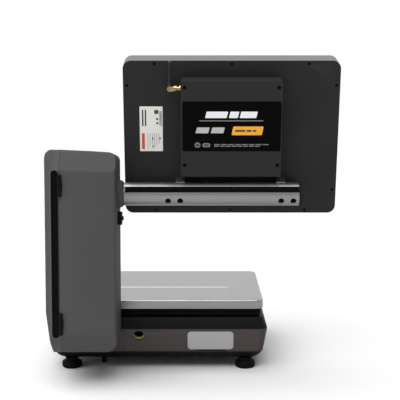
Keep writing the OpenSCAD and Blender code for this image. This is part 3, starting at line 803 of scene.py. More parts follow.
    @staticmethod
    def grow(
        name: str,
        tree: Tree,
        values: dict[str, object],
        points: Sequence[Point2] = ((0.0, 0.0),),
    ) -> Object:
        """Runs a tree and keeps its result as a plain mesh.

        Args:
            name: The new object's name.
            tree: The node tree.
            values: Its inputs by name, in metres.
            points: Places of the instances in millimetres, where the tree uses them.

        Returns:
            The object, about the origin.
        """
        mesh = bpy.data.meshes.new(name)
        mesh.from_pydata([(x * MM, y * MM, 0.0) for x, y in points], [], [])
        made = as_object(name, mesh)
        run = made.modifiers.new("repeat", "NODES")
        run.node_group = tree
        for item in tree.interface.items_tree:
            if item.item_type == "SOCKET" and item.in_out == "INPUT" and item.name in values:
                run[item.identifier] = values[item.name]
        return applied(made)


# ---------------------------------------------------------------- the workshop


class Workshop:
    """Holds the materials and trees, and fastens each finished piece to its body."""

    def __init__(self) -> None:
        """Builds the materials and the repeat trees."""
        groups = ShaderGroups()
        self.materials = {f.slot: f.material(groups) for f in FINISHES + INKS}
        self.trees = RepeatTrees()
        self.count = 0

    def fasten(
        self,
        piece: Object,
        body: str,
        slot: str,
        *nodes: str,
        ink: str | None = None,
    ) -> Object:
        """Dresses a piece and rides it on its body.

        Args:
            piece: The finished object.
            body: The CAD body it moves with.
            slot: The record's material slot.
            nodes: CAD nodes that it replaces.
            ink: A printed finish that is shown instead of the slot's own.

        Returns:
            The piece.
        """
        piece.data.materials.clear()
        piece.data.materials.append(self.materials[ink or slot])
        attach(piece, body)
        if nodes:
            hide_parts(*nodes)
        self.count += 1
        LOG.info("%s rides on %s, %d faces", piece.name, body, len(piece.data.polygons))
        return piece

    def dress(self, node: str, slot: str) -> None:
        """Gives a CAD node that stays as it is its own material."""
        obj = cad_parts[node]
        obj.data.materials.clear()
        obj.data.materials.append(self.materials[slot])
        LOG.info("%s keeps its shape in %s", node, slot)

    def soften(self, node: str, body: str, slot: str, width: float = 0.4, steps: int = 2) -> Object:
        """Replaces a CAD node by a copy with rounded edges."""
        return self.fasten(cad_copy(node, width, steps), body, slot, node)


# ---------------------------------------------------------------- weighing base


@dataclass
class WeighingBase:
    """The weighing base, its feet and its platter. Sizes are in millimetres."""

    shop: Workshop
    middle: Point2 = (54.0, -58.0)
    width: float = 372.0
    depth: float = 260.0
    rear: float = 72.0
    pan_low: float = 19.0
    band_low: float = 31.5
    waist: float = 72.0
    collar_top: float = 91.0
    draft: float = 7.0
    corner: float = 14.0
    post_x: float = 120.0
    post_y: float = 70.0
    post_hole: float = 11.0
    panel_x: Point2 = (-122.0, 112.0)
    level: Point2 = (87.0, 60.3)
    plate_middle: Point2 = (-35.0, 52.0)
    platter_middle: Point2 = (54.0, -55.0)
    platter_size: Point2 = (357.4, 240.0)
    platter_top: float = 120.5
    lip: float = 15.0
    sheet: float = 1.2
    bend: float = 2.6
    groove_x: float = 126.7
    groove_y: float = -33.0
    groove_corner: float = 14.0
    groove_end: float = 12.0
    press_radius: float = 4.0
    press_depth: float = 1.0

    def ring(self, z: float, inset: float, drop: float = 0.0) -> list[Vector]:
        """One level of the base's plan, drawn in by an inset."""
        outline = rounded_rect(self.width - 2 * inset, self.depth - 2 * inset, self.corner - drop, 8)
        return [Vector((x + self.middle[0], y + self.middle[1], z)) for x, y in outline]

    def build(self) -> None:
        """Makes every piece of the base."""
        self._body()
        self._rear_panel()
        self._feet()
        self._platter()
        self._inside()

    def _body(self) -> None:
        """The pan, and the collar with its deck."""
        low = self.pan_low
        pan = [(low, 21.0), (low + 0.5, 18.0), (low + 2.0, 15.2), (low + 5.0, 12.4), (low + 9.0, 9.6)]
        pan += [(self.band_low - 0.6, self.draft + 0.9), (self.band_low - 0.1, self.draft + 1.6)]
        skin = loft("pan_skin", [self.ring(z, i) for z, i in pan], True, True)
        self.shop.fasten(skin, "base", "dark_plastic", "base_pan")
        top = self.collar_top
        collar = [(self.waist + 0.15, 0.9), (self.waist + 0.6, 0.35), (self.waist + 1.4, 0.45)]
        for down, inset in ((3.0, -1.0), (1.2, -0.1), (0.3, 1.2), (0.0, 3.0)):
            collar.append((top - down, self.draft + inset))
        skin = loft("collar_skin", [self.ring(z, i) for z, i in collar], True, True)
        for sx in (-1, 1):
            for sy in (-1, 1):
                place = shift(self.middle[0] + sx * self.post_x, self.middle[1] + sy * self.post_y, top - 5)
                cut(skin, bar("post_hole", self.post_hole, 0, 8, place))
        self.shop.fasten(skin, "base", "dark_plastic", "base_collar")

    def _band(self, name: str) -> Object:
        """The lower band as a closed solid with a softened waist."""
        levels = [(self.band_low, self.draft + 0.8), (self.band_low + 0.7, self.draft - 0.1)]
        levels += [(self.waist - 1.6, 0.28), (self.waist - 0.6, 0.25), (self.waist, 0.8)]
        return loft(name, [self.ring(z, i) for z, i in levels], True, True)

    def _window(self, grow: float, reach: float) -> Object:
        """A prism through the rear wall with the rear panel's outline."""
        x0, x1 = self.panel_x
        outline = rounded_rect(x1 - x0 + 2 * grow, self.waist - self.band_low - 3 + 2 * grow, 6 + grow)
        tool = slab("window", outline, -reach, 8)
        middle = shift((x0 + x1) / 2, self.rear, (self.band_low + self.waist) / 2)
        return placed(tool, middle @ TO_REAR)

    def _rear_panel(self) -> None:
        """The lower body, the inset panel, the blank plate and the level."""
        window = shift(self.level[0], self.rear, self.level[1]) @ TO_REAR
        skin = cut(self._band("lower_body_skin"), self._window(0.35, 13.0))
        cut(skin, bar("level_room", 11, -24, -12, window, 48))
        self.shop.fasten(skin, "base", "base_plastic", "base_shell")
        panel = cut(self._band("rear_panel_skin"), self._window(0.0, 9.5), "INTERSECT")
        cut(panel, bar("level_hole", 8.7, -14, 9, window, 48))
        slot = slab("cable_slot", rounded_rect(50, 30, 0.4, 1), self.band_low - 2, self.band_low + 4.2)
        cut(panel, placed(slot, shift(-36, self.rear, 0)))
        self.shop.fasten(bevelled(panel, 0.35, 2, 40), "base", "base_plastic", "rear_panel")
        plate = slab("rating_plate_skin", rounded_rect(77.8, 32.6, 6), 0.1, 0.7, 0.25)
        slope = self.draft / (self.waist - self.band_low)
        x, z = self.plate_middle
        turn = Matrix.Rotation(-math.atan(slope), 4, "X") @ TO_REAR
        placed(plate, shift(x, self.rear - slope * (self.waist - z), z) @ turn)
        self.shop.fasten(plate, "base", "plate_silver", "rating_plate")
        self.shop.soften("bubble_level", "base", "level_cup", 0.3)
        self._level_vial()
        self.shop.soften("transit_peg", "base", "foot_rubber", 0.8, 3)

    def _level_vial(self) -> None:
        """The crescent of green liquid seen low in the level's window."""
        lay = shift(self.level[0], 0, self.level[1]) @ TO_REAR
        disc = [(0, 54), (8.6, 54), (9.2, 54.4), (9.2, 58.6), (8.6, 59), (0, 59)]
        liquid = lathe("level_vial_skin", disc, lay, 64)
        air = bar("air", 9.4, 52, 61, shift(0, 0, 3.8) @ lay, 64)
        self.shop.fasten(cut(liquid, air), "base", "level_green", "level_vial")

    def _feet(self) -> None:
        """Four levelling feet with grip ribs."""
        profile = [(0, 0.0), (13.4, 0.0), (14.6, 0.3), (16.2, 1.6), (16.9, 3.6), (17, 5), (17, 8.4)]
        profile += [(16.6, 9.6), (15.4, 10.8), (12.4, 11.8), (11.4, 12.6), (11, 14), (11, 17.0), (10.6, 17.5)]
        profile += [(4, 17.5), (4, 42.9), (3.5, 43.4), (0, 43.4)]
        names = ("foot_rear_left", "foot_rear_right", "foot_front_left", "foot_front_right")
        for number, node in enumerate(names):
            low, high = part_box(node)
            place = Matrix.Translation(((low.x + high.x) / 2, (low.y + high.y) / 2, 0.0))
            pad = lathe(node + "_pad", profile, place, 64)
            sizes = {"Radius": 0.0166, "Rib Width": 0.0013, "Rib Depth": 0.0007, "Rib Height": 0.0042}
            ribs = self.shop.trees.grow(node + "_ribs", self.shop.trees.ribs, {**sizes, "Count": 40})
            placed(ribs, place @ shift(0, 0, 6.4))
            whole = merged(node + "_skin", [pad, ribs])
            self.shop.fasten(whole, f"foot_{number + 1}", "foot_rubber", node)

    def _platter(self) -> None:
        """The folded stainless platter with its pressed groove."""
        w, d = self.platter_size
        x0, y0 = self.platter_middle
        top, bend, corner = self.platter_top, self.bend, self.corner
        low = top - self.lip
        levels = [(low, 0.25, corner), (low + 0.6, 0.0, corner), (top - 3.0, 0.0, corner)]
        for k in range(1, 7):
            angle = math.radians(15 * k)
            inset = bend * (1 - math.cos(angle))
            levels.append((top - bend + bend * math.sin(angle), inset, corner - inset))
        rings = []
        for z, inset, radius in levels:
            outline = rounded_rect(w - 2 * inset, d - 2 * inset, radius, 10)
            rings.append([Vector((x + x0, y + y0, z)) for x, y in outline])
        skin = walled(loft("platter_skin", rings, False, True), self.sheet)
        cut(skin, self._groove_tool())
        self.shop.fasten(skin, "platter_body", "stainless", "platter")
        self.shop.soften("sub_platter", "base", "tray_black", 1.0, 3)

    def _groove_tool(self) -> Object:
        """A bent rod along the pressed groove: from near the rear edge, across, and back."""
        x0 = self.platter_middle[0] - self.groove_x
        x1 = self.platter_middle[0] + self.groove_x
        rear = self.platter_middle[1] + self.platter_size[1] / 2 - self.groove_end
        radius = self.groove_corner
        path = [(x0, rear)]
        for centre, start in ((x0 + radius, 180), (x1 - radius, 270)):
            for k in range(9):
                a = math.radians(start + 90 * k / 8)
                path.append((centre + radius * math.cos(a), self.groove_y + radius + radius * math.sin(a)))
        path.append((x1, rear))
        rings = []
        for i, (x, y) in enumerate(path):
            ahead = Vector(path[min(i + 1, len(path) - 1)]) - Vector(path[max(i - 1, 0)])
            side = Vector((-ahead.y, ahead.x)).normalized()
            ring = []
            for k in range(32):
                a = 2 * math.pi * k / 32
                middle = Vector((x, y, self.platter_top + self.press_radius - self.press_depth))
                around = (side * math.cos(a)).to_3d() + Vector((0, 0, math.sin(a)))
                ring.append(middle + around * self.press_radius)
            rings.append(ring)
        return loft("groove_tool", rings, True, True)

    def _inside(self) -> None:
        """Materials of the parts inside the base."""
        for node, slot in (
            ("foot_bosses", "dark_plastic"),
            ("load_cell", "cast_alloy"),
            ("cell_blocks", "cast_alloy"),
            ("spider", "cast_alloy"),
            ("spider_pads", "foot_rubber"),
            ("scale_board", "circuit_board"),
            ("power_supply", "supply_case"),
            ("power_jack", "jack_black"),
            ("tower_arms", "pin_steel"),
        ):
            self.shop.dress(node, slot)


# ---------------------------------------------------------------- printer tower


@dataclass
class PrinterTower:
    """The printer tower, its door and what it holds. Sizes are in millimetres."""

    shop: Workshop
    inner: float = 116.0
    parting: float = 204.0
    outer: float = 230.0
    front: float = 72.0
    rear: float = 182.0
    low: float = 59.0
    top: float = 385.0
    front_top: float = 374.0
    fall: float = 4.0
    low_slope: Point2 = (17.0, 33.0)
    top_slope: Point2 = (20.0, 31.0)
    brow: float = 6.0
    wall: float = 3.0
    top_round: float = 13.0
    low_round: float = 20.0
    edge_round: float = 4.0
    flank: float = 217.5
    door_round: float = 16.0
    trim_x: Point2 = (205.4, 216.8)
    trim_z: Point2 = (87.0, 354.0)
    hinge: Point2 = (203.0, 184.5)
    hinge_z: Point2 = (93.0, 313.0)
    hinge_height: float = 34.0
    leaf_x: Point2 = (198.8, 207.2)
    tower_leaf: Point2 = (10.8, 23.2)
    door_leaves: tuple[Point2, Point2] = ((-0.2, 11.2), (22.8, 34.2))
    outlet: Point2 = (158.0, 171.0)

    def build(self) -> None:
        """Makes every piece of the tower."""
        self._shell()
        self._door()
        self._hinges()
        self._boss_and_knob()
        self._printer()

    def side(self) -> list[Point2]:
        """Side outline in Y and Z, with softened corners and short steps."""
        (low_y, low_z), (top_y, top_z), brow = self.low_slope, self.top_slope, self.brow
        corners = [(self.front, self.low), (self.rear - low_y, self.low), (self.rear, self.low + low_z)]
        corners += [(self.rear, self.top - top_z), (self.rear - top_y, self.top)]
        corners += [(self.front + brow, self.front_top), (self.front, self.front_top - brow)]
        outline = rounded_outline(corners, [2.5, 8.0, 10.0, 7.0, 9.0, 3.0, 3.0], 7)
        fine: list[Point2] = []
        for i, point in enumerate(outline):
            after = Vector(outline[(i + 1) % len(outline)])
            here = Vector(point)
            pieces = max(1, int((after - here).length / 4))
            fine += [tuple(here.lerp(after, k / pieces)) for k in range(pieces)]
        return fine

    def roof(self, y: float) -> float:
        """Height of the top, which falls towards the front, before the rear slope is cut."""
        start, stop = self.front + self.brow, self.rear - self.top_slope[0]
        share = (y - start) / (stop - start)
        return self.front_top + (self.top - self.front_top) * min(1.0, max(0.0, share))

    def held(self, x: float, y0: float, y1: float, z0: float, z1: float) -> list[Vector]:
        """The side outline at one X, held inside limits in Y and Z."""
        drop = self.fall * min(1.0, max(0.0, (self.parting - x) / (self.parting - self.inner)))
        low = (self.top + self.low) / 2
        out = []
        for y, z in self.side():
            share = max(0.0, (z - low) / (self.top - low))
            out.append(Vector((x, min(max(y, y0), y1), min(max(z, z0), z1) - drop * share)))
        return out

    def _shell(self) -> None:
        """The moulded shell, open towards the door."""
        rings = []
        steps = 9
        middle = (self.top + self.low) / 2
        for k in range(steps + 1):
            angle = math.radians(90 * k / steps)
            rise, run = 1 - math.sin(angle), 1 - math.cos(angle)
            ring = []
            for y, z in self.side():
                y = min(max(y, self.front + self.edge_round * rise), self.rear - self.edge_round * rise)
                roof = self.roof(y)
                z = min(max(z, self.low + self.low_round * rise), roof - self.top_round * rise)
                radius = self.top_round if z > middle else self.low_round
                blend = max(0.0, 1 - min(z - self.low, roof - z) / 60)
                reach = self.edge_round + (radius - self.edge_round) * blend * blend
                down = self.fall * max(0.0, (z - middle) / (self.top - middle))
                ring.append(Vector((self.inner + reach * run, y, z - down)))
            rings.append(ring)
        for x in (self.inner + 40, self.parting - 0.6):
            rings.append(self.held(x, self.front, self.rear, self.low, self.top))
        lip = 0.5
        rings.append(
            self.held(self.parting, self.front + lip, self.rear - lip, self.low + lip, self.top - lip)
        )
        skin = walled(loft("tower_skin", rings, True, False), self.wall)
        slot = slab("outlet", rounded_rect(64, 10, 2), -4, 6)
        cut(skin, placed(slot, shift(self.outlet[0], self.front, self.outlet[1]) @ TO_FRONT))
        self._notch(skin, self.leaf_x[0], self.parting + 2, *self.tower_leaf)
        self.shop.fasten(skin, "base", "charcoal_plastic", "tower_shell")

    def _notch(self, skin: Object, x0: float, x1: float, z0: float, z1: float) -> None:
        """Clears room for the hinge knuckles at both hinges."""
        for z in self.hinge_z:
            place = shift(self.hinge[0], self.hinge[1], z)
            cut(skin, bar("barrel_room", 4, -0.5, self.hinge_height + 0.5, place))
            near, far = self.rear - 2.2, self.rear + 8
            leaf = [(x0, near), (x1, near), (x1, far), (x0, far)]
            cut(skin, slab("leaf_room", leaf, z + z0, z + z1))

    def _door(self) -> None:
        """The door with its long rear bevel, its recess and its black trim."""
        start = self.parting + 0.4
        lip = 0.5
        rings = [self.held(start, self.front + lip, self.rear - lip, self.low + lip, self.top - lip)]
        rings.append(self.held(start + 0.6, self.front, self.rear, self.low, self.top))
        steps = 12
        for k in range(steps + 1):
            share = math.sin(math.radians(86 * k / steps))
            x = self.flank + (self.outer - 0.1 - self.flank) * share
            rear_bevel = self.rear - 22 * share
            rings.append(
                self.held(
                    x,
                    self.front + 10 * (1 - math.sqrt(1 - share * share)),
                    rear_bevel,
                    self.low + 64 * share,
                    self.top - self.door_round * (1 - math.sqrt(1 - share * share)),
                )
            )
        skin = walled(loft("door_skin", rings, False, True), self.wall)
        recess = self._strip("recess", self.trim_x, self.trim_z, 5.5, self.rear - 2.0, self.rear + 2)
        bevelled(cut(skin, recess), 0.5, 3, 60)
        self._door_notches(skin)
        self.shop.fasten(skin, "door", "charcoal_plastic", "door_shell")
        (x0, x1), (z0, z1), back = self.trim_x, self.trim_z, self.rear
        bed = self._strip("trim_bed", (x0 + 0.1, x1 - 0.1), (z0 + 0.1, z1 - 0.1), 5.4, back - 2.6, back - 1.7)
        rib = self._strip("trim_rib", (x0 + 0.4, x1 - 3.2), (z0 + 2.0, z1 - 2.6), 3.8, back - 2.2, back - 0.4)
        for strip in (bed, rib):
            self._door_notches(strip)
        trim = merged("door_trim_skin", [bed, bevelled(rib, 0.45, 3, 40)])
        self.shop.fasten(trim, "door", "black_trim", "door_trim")

    def _door_notches(self, piece: Object) -> None:
        """Clears room for the door's own hinge leaves."""
        for leaf in self.door_leaves:
            self._notch(piece, self.parting - 1, self.leaf_x[1], *leaf)

    @staticmethod
    def _strip(name: str, xs: Point2, zs: Point2, radius: float, y0: float, y1: float) -> Object:
        """An upright strip with round ends on the rear of the door."""
        made = slab(name, rounded_rect(xs[1] - xs[0], zs[1] - zs[0], radius), -y1, -y0)
        return placed(made, shift((xs[0] + xs[1]) / 2, 0, (zs[0] + zs[1]) / 2) @ TO_FRONT)

    def _hinges(self) -> None:
        """Knuckles and pins of the two hinges."""
        self.shop.soften("hinge_fixed", "base", "hinge_black", 0.3)
        self.shop.soften("hinge_moving", "door", "hinge_black", 0.3)
        self.shop.soften("hinge_pins", "base", "pin_steel", 0.3)
        self.shop.soften("door_catch", "base", "black_trim", 0.8)

    def _boss_and_knob(self) -> None:
        """The round boss and the clamp knob under it."""
        profile = [(12.1, 0.0), (23.0, 0.0)]
        for k in range(13):
            angle = math.radians(90 * k / 12)
            profile.append((17.0 + 6.0 * math.cos(angle), 0.4 + 9.5 * math.sin(angle)))
        profile += [(12.1, 9.9), (12.1, 0.0)]
        turn = Matrix.Rotation(math.radians(-90), 4, "Y")
        low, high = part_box("tower_boss")
        middle = Matrix.Translation((high.x, (low.y + high.y) / 2, (low.z + high.z) / 2))
        boss = lathe("boss_skin", profile, middle @ turn, 96)
        self.shop.fasten(boss, "base", "charcoal_plastic", "tower_boss")
        self.shop.soften("clamp_knob", "knob", "knob_black", 0.9, 3)

    def _printer(self) -> None:
        """The printer, the label roll and their shafts."""
        for node, body, slot, width in (
            ("roll_spindle", "base", "pin_steel", 0.4),
            ("roll_hub", "roll", "hub_blue", 0.5),
            ("roll_core", "roll", "cardboard", 0.2),
            ("label_roll", "roll", "label_paper", 0.3),
            ("printer_frame", "base", "frame_steel", 0.3),
            ("platen_roller", "platen", "foot_rubber", 0.4),
            ("platen_gear", "platen", "gear_nylon", 0.1),
            ("print_motor", "base", "motor_black", 0.8),
            ("motor_pinion", "pinion", "pinion_brass", 0.1),
            ("print_head", "head", "head_alloy", 0.4),
            ("printer_board", "base", "circuit_board", 0.1),
        ):
            self.shop.soften(node, body, slot, width)


# ---------------------------------------------------------------- rail and screen


@dataclass
class RailAndScreen:
    """The rail, the screen, its computer box and the antenna. Sizes are in millimetres."""

    shop: Workshop
    origin: Point3 = (-67.0, 99.0, 310.0)
    lean: float = 13.0
    middle: float = 91.5
    screw_x: float = 122.5
    screw_edge: float = 167.0
    box_x: float = 0.8
    box_depth: float = 32.0
    box_width: float = 160.0
    plate_middle: Point2 = (0.3, 121.2)
    label_middle: Point2 = (128.8, 107.8)
    rail_holes: tuple[float, ...] = (34.5, 15.0, -146.8, -166.3)
    rail_axis: Point2 = (126.0, 310.0)
    antenna: Point3 = (98.3, 15.6, 179.0)

    def turn(self) -> Matrix:
        """From the screen's frame, with Y out of its back and Z up its slope, to the object's."""
        return shift(*self.origin) @ Matrix.Rotation(math.radians(-self.lean), 4, "X")

    def on_back(self, x: float, v: float, y: float) -> Matrix:
        """Lays a flat piece drawn in X and Y on the screen's back, as seen from behind."""
        lay = Matrix(((-1, 0, 0, 0), (0, 0, 1, 0), (0, 1, 0, 0), (0, 0, 0, 1)))
        return self.turn() @ shift(x, y, v) @ lay

    def build(self) -> None:
        """Makes the rail and all that it carries."""
        self._rail()
        self._housing()
        self._screws()
        self._name_plate()
        self._service_label()
        self._antenna()

    def _rail(self) -> None:
        """Rail, its cover strip, cap, brackets, shaft and the screws in its holes."""
        self.shop.soften("rail", "screen", "rail_aluminium", 0.3, 2)
        self.shop.soften("rail_trim", "screen", "black_trim", 0.5, 2)
        self.shop.soften("screen_brackets", "screen", "bracket_grey", 0.8, 3)
        self.shop.soften("shaft_collar", "screen", "collar_plastic", 0.4)
        self.shop.dress("tilt_shaft", "pin_steel")
        sizes = {"Head Radius": 0.0047, "Head Height": 0.004, "Socket Radius": 0.002}
        values = {**sizes, "Material": self.shop.materials["screw_black"]}
        heads = self.shop.trees.grow(
            "rail_screws", self.shop.trees.screws, values, [(x, 0.0) for x in self.rail_holes]
        )
        y, z = self.rail_axis
        placed(heads, shift(0, y, z) @ Matrix.Rotation(math.radians(-120), 4, "X") @ shift(0, 0, 14.0))
        self.shop.fasten(heads, "screen", "screw_black")

    def _housing(self) -> None:
        """The frame, rear cover, glass, panel and computer box."""
        self.shop.soften("bezel_frame", "screen", "frame_silver", 1.3, 4)
        self.shop.soften("screen_back", "screen", "cover_black", 0.5, 3)
        self.shop.soften("touch_glass", "screen", "screen_glass", 0.8, 3)
        self.shop.dress("lcd_panel", "panel_metal")
        self.shop.soften("box_cover", "screen", "box_black", 1.1, 4)
        self.shop.dress("computer_parts", "circuit_board")

    def _screws(self) -> None:
        """The small screws round the rear cover and the four of the computer box."""
        grow, tree = self.shop.trees.grow, self.shop.trees.screws
        ink = {"Material": self.shop.materials["screw_black"]}
        cover = [(x, self.middle + s * 123.5) for x in (-self.screw_x, 0, self.screw_x) for s in (-1, 1)]
        cover += [(x, v) for x in (-self.screw_edge, self.screw_edge) for v in (4.0, 180.0)]
        small = {"Head Radius": 0.0025, "Head Height": 0.0013, "Socket Radius": 0.0012, **ink}
        first = grow("cover_screws", tree, small, [(-x, v) for x, v in cover])
        placed(first, self.on_back(0, 0, -1.5))
        box = [(x + self.box_x, v) for x in (-74, 74) for v in (56.8, 184.3)]
        large = {"Head Radius": 0.0031, "Head Height": 0.002, "Socket Radius": 0.0015, **ink}
        second = grow("box_screws", tree, large, [(-x, v) for x, v in box])
        placed(second, self.on_back(0, 0, self.box_depth - 2.4))
        heads = merged("screen_screw_heads", [first, second])
        self.shop.fasten(heads, "screen", "screw_black", "screen_screws")

    def _print(self, name: str, shapes: Sequence[Shape], lift: Matrix, ink: str) -> None:
        """Prints flat shapes of one ink.

        Args:
            name: The piece's name.
            shapes: Pairs of an outline and its middle, in millimetres.
            lift: Placement of the printed face.
            ink: The finish of the ink.
        """
        parts = []
        for outline, (x, y) in shapes:
            parts.append(placed(slab(name, outline, 0.0, 0.12), shift(x, y, 0)))
        whole = placed(merged(name, parts), lift)
        slot = "plate_black" if name.startswith("plate") else "label_white"
        self.shop.fasten(whole, "screen", slot, ink=ink)

    def _name_plate(self) -> None:
        """The black plate with plain bars, a blank amber tag and small round marks."""
        x, v = self.plate_middle
        plate = slab("name_plate_skin", rounded_rect(155.6, 81.8, 3.2), 0, 0.6, 0.2)
        placed(plate, self.on_back(x, v, self.box_depth))
        self.shop.fasten(plate, "screen", "plate_black", "name_plate")
        face = self.on_back(x, v, self.box_depth + 0.58)
        bars = [(self._slant(34, 10.6, 2.6), (-24, 19.4)), (self._slant(14, 10.6, 2.6), (3.5, 19.4))]
        bars += [(self._slant(26, 10.6, 2.6), (26.5, 19.4))]
        self._print("plate_bars_white", bars, face, "ink_white")
        self._print("plate_rule", [(rounded_rect(101, 1.6, 0.5), (-1, 9.6))], face, "ink_grey")
        second = [(self._slant(20, 9.6, 2.6), (-46, -6.0)), (self._slant(20, 9.6, 2.6), (-22, -6.0))]
        self._print("plate_bars_silver", second, face, "ink_silver")
        tag = rounded_outline([(-25.5, -7.2), (22.5, -7.2), (25.5, 7.2), (-22.5, 7.2)], [2.0] * 4)
        self._print("plate_tag", [(tag, (25.0, -6.8))], face, "ink_amber")
        dark = [(rounded_rect(w, 3.2, 0.8), (c, -6.8)) for w, c in ((16, 13.5), (8, 27.5), (5, 36.0))]
        self._print("plate_tag_bars", dark, self.on_back(x, v, self.box_depth + 0.68), "ink_dark")
        small = [(rounded_rect(9.0, 9.0, 4.45), (-54, -30.4)), (rounded_rect(12.4, 6.8, 3.3), (-40, -30.6))]
        for row, (length, centre) in enumerate(((88, 15.5), (74, 8.5))):
            pitch = length / 8
            for k in range(8):
                place = (centre - length / 2 + (k + 0.5) * pitch, -29.6 - 2.7 * row)
                small.append((rounded_rect(pitch - 1.6, 1.5, 0.5), place))
        self._print("plate_small_marks", small, face, "ink_grey")
        holes = [(rounded_rect(5.6, 5.6, 2.75), (-54, -30.4)), (rounded_rect(8.0, 3.4, 1.6), (-40, -30.6))]
        self._print("plate_mark_centres", holes, self.on_back(x, v, self.box_depth + 0.66), "ink_dark")

    @staticmethod
    def _slant(width: float, height: float, lean: float) -> list[Point2]:
        """A leaning bar."""
        x, y, s = width / 2, height / 2, lean / 2
        return rounded_outline([(-x - s, -y), (x - s, -y), (x + s, y), (-x + s, y)], [0.9] * 4, 4)

    def _service_label(self) -> None:
        """The paper label with plain bars, ruled lines and stripes."""
        x, v = self.label_middle
        sheet = slab("service_label_skin", rounded_rect(37, 75.2, 0.8), 0, 0.25, 0.06)
        placed(sheet, self.on_back(x, v, 0.02))
        self.shop.fasten(sheet, "screen", "label_white", "service_label")
        face = self.on_back(x, v, 0.26)
        self._print("label_red_bar", [(rounded_rect(4.6, 27, 0.6), (-13.0, -20.5))], face, "ink_red")
        dark = [(rounded_rect(2.4, 27, 0.4), (cx, 18.5)) for cx in (-13.6, -9.0)]
        dark += [(rounded_rect(6.6, 6.6, 0.4), (8.4, 28.5))]
        dark += [(rounded_rect(3.2, 3.4, 0.4), (9.8, y)) for y in (16.6, 9.6)]
        for k, cx in enumerate((2.4, 2.4, 14.0)):
            dark.append((rounded_rect(1.5, 5.0, 0.3), (cx, -16.0 - 13.0 * (k % 2))))
        self._print("label_dark_marks", dark, face, "ink_dark")
        lines = []
        for k in range(6):
            short = k % 3
            lines.append((rounded_rect(0.7, 26 - 4 * short, 0.2, 2), (-5.6 + 3.6 * k, -20.0 + 2.0 * short)))
        self._print("label_lines", lines, face, "ink_grey")
        values = {"Count": 22, "Pitch": 0.0011, "Bar Width": 0.0006, "Bar Length": 0.0044}
        values |= {"Ink": 0.00012, "Seed": 7, "Material": self.shop.materials["ink_dark"]}
        stripes = self.shop.trees.grow("label_stripes", self.shop.trees.bars, values)
        quarter = Matrix.Rotation(math.radians(90), 4, "Z")
        placed(stripes, face @ shift(15.2, 6.0, 0.06) @ quarter)
        self.shop.fasten(stripes, "screen", "label_white", ink="ink_dark")

    def _antenna(self) -> None:
        """Brass socket with a nut and a sleeve, knurled elbow and rod."""
        x, y, v = self.antenna
        along = self.turn() @ shift(x, y, v) @ Matrix.Rotation(math.radians(90), 4, "Y")
        wall = self.box_x + self.box_width / 2 - x
        nut = slab("nut", rounded_outline(self._hexagon(4.7), [0.3] * 6, 2), wall, wall + 2.4, 0.3)
        sleeve = bar("sleeve", 3.1, wall - 2, wall + 6.4, Matrix(), 40)
        socket = placed(merged("antenna_socket_skin", [nut, sleeve]), along)
        self.shop.fasten(socket, "screen", "brass", "antenna_socket")
        profile = [(0, -10.9), (4.0, -10.9), (4.5, -10.4), (4.5, -6.6)]
        profile += [(4.0, -6.0), (3.4, -5.8), (3.4, -5.0), (0, -5.0)]
        body = lathe("elbow_ring", profile, Matrix(), 48)
        sizes = {"Radius": 0.0045, "Rib Width": 0.0004, "Rib Depth": 0.0003, "Rib Height": 0.0034}
        knurl = self.shop.trees.grow("elbow_knurl", self.shop.trees.ribs, {**sizes, "Count": 30})
        placed(knurl, shift(0, 0, -8.5))
        ring = placed(merged("elbow_ring_knurled", [body, knurl]), along)
        fork = cad_copy("antenna_elbow", 0.25)
        elbow = merged("antenna_elbow_skin", [ring, fork])
        self.shop.fasten(elbow, "aerial_elbow", "brass", "antenna_elbow")
        upright = self.turn() @ shift(x, y, v)
        profile = [(0, 5.4), (2.5, 5.4), (2.9, 5.9), (2.9, 9.0), (2.6, 9.5)]
        profile += [(2.6, 42.0), (2.3, 43.4), (1.2, 44.0), (0, 44.0)]
        rod = lathe("rod", profile, upright, 40)
        across = upright @ TO_FRONT
        tongue = lathe("tongue", [(0, -2), (3.3, -2), (3.5, -1.8), (3.5, 1.8), (3.3, 2), (0, 2)], across, 40)
        pin = bar("pin", 1, -4.2, 4.2, across, 24)
        neck = placed(slab("neck", rounded_rect(4, 4, 0.8), 0, 6), upright)
        whole = merged("antenna_rod_skin", [rod, tongue, pin, neck])
        self.shop.fasten(whole, "aerial_rod", "antenna_black", "antenna_rod")

    @staticmethod
    def _hexagon(radius: float) -> list[Point2]:
        """A hexagon's corners."""
        turns = [math.radians(60 * k) for k in range(6)]
        return [(radius * math.cos(a), radius * math.sin(a)) for a in turns]


# ---------------------------------------------------------------- studio


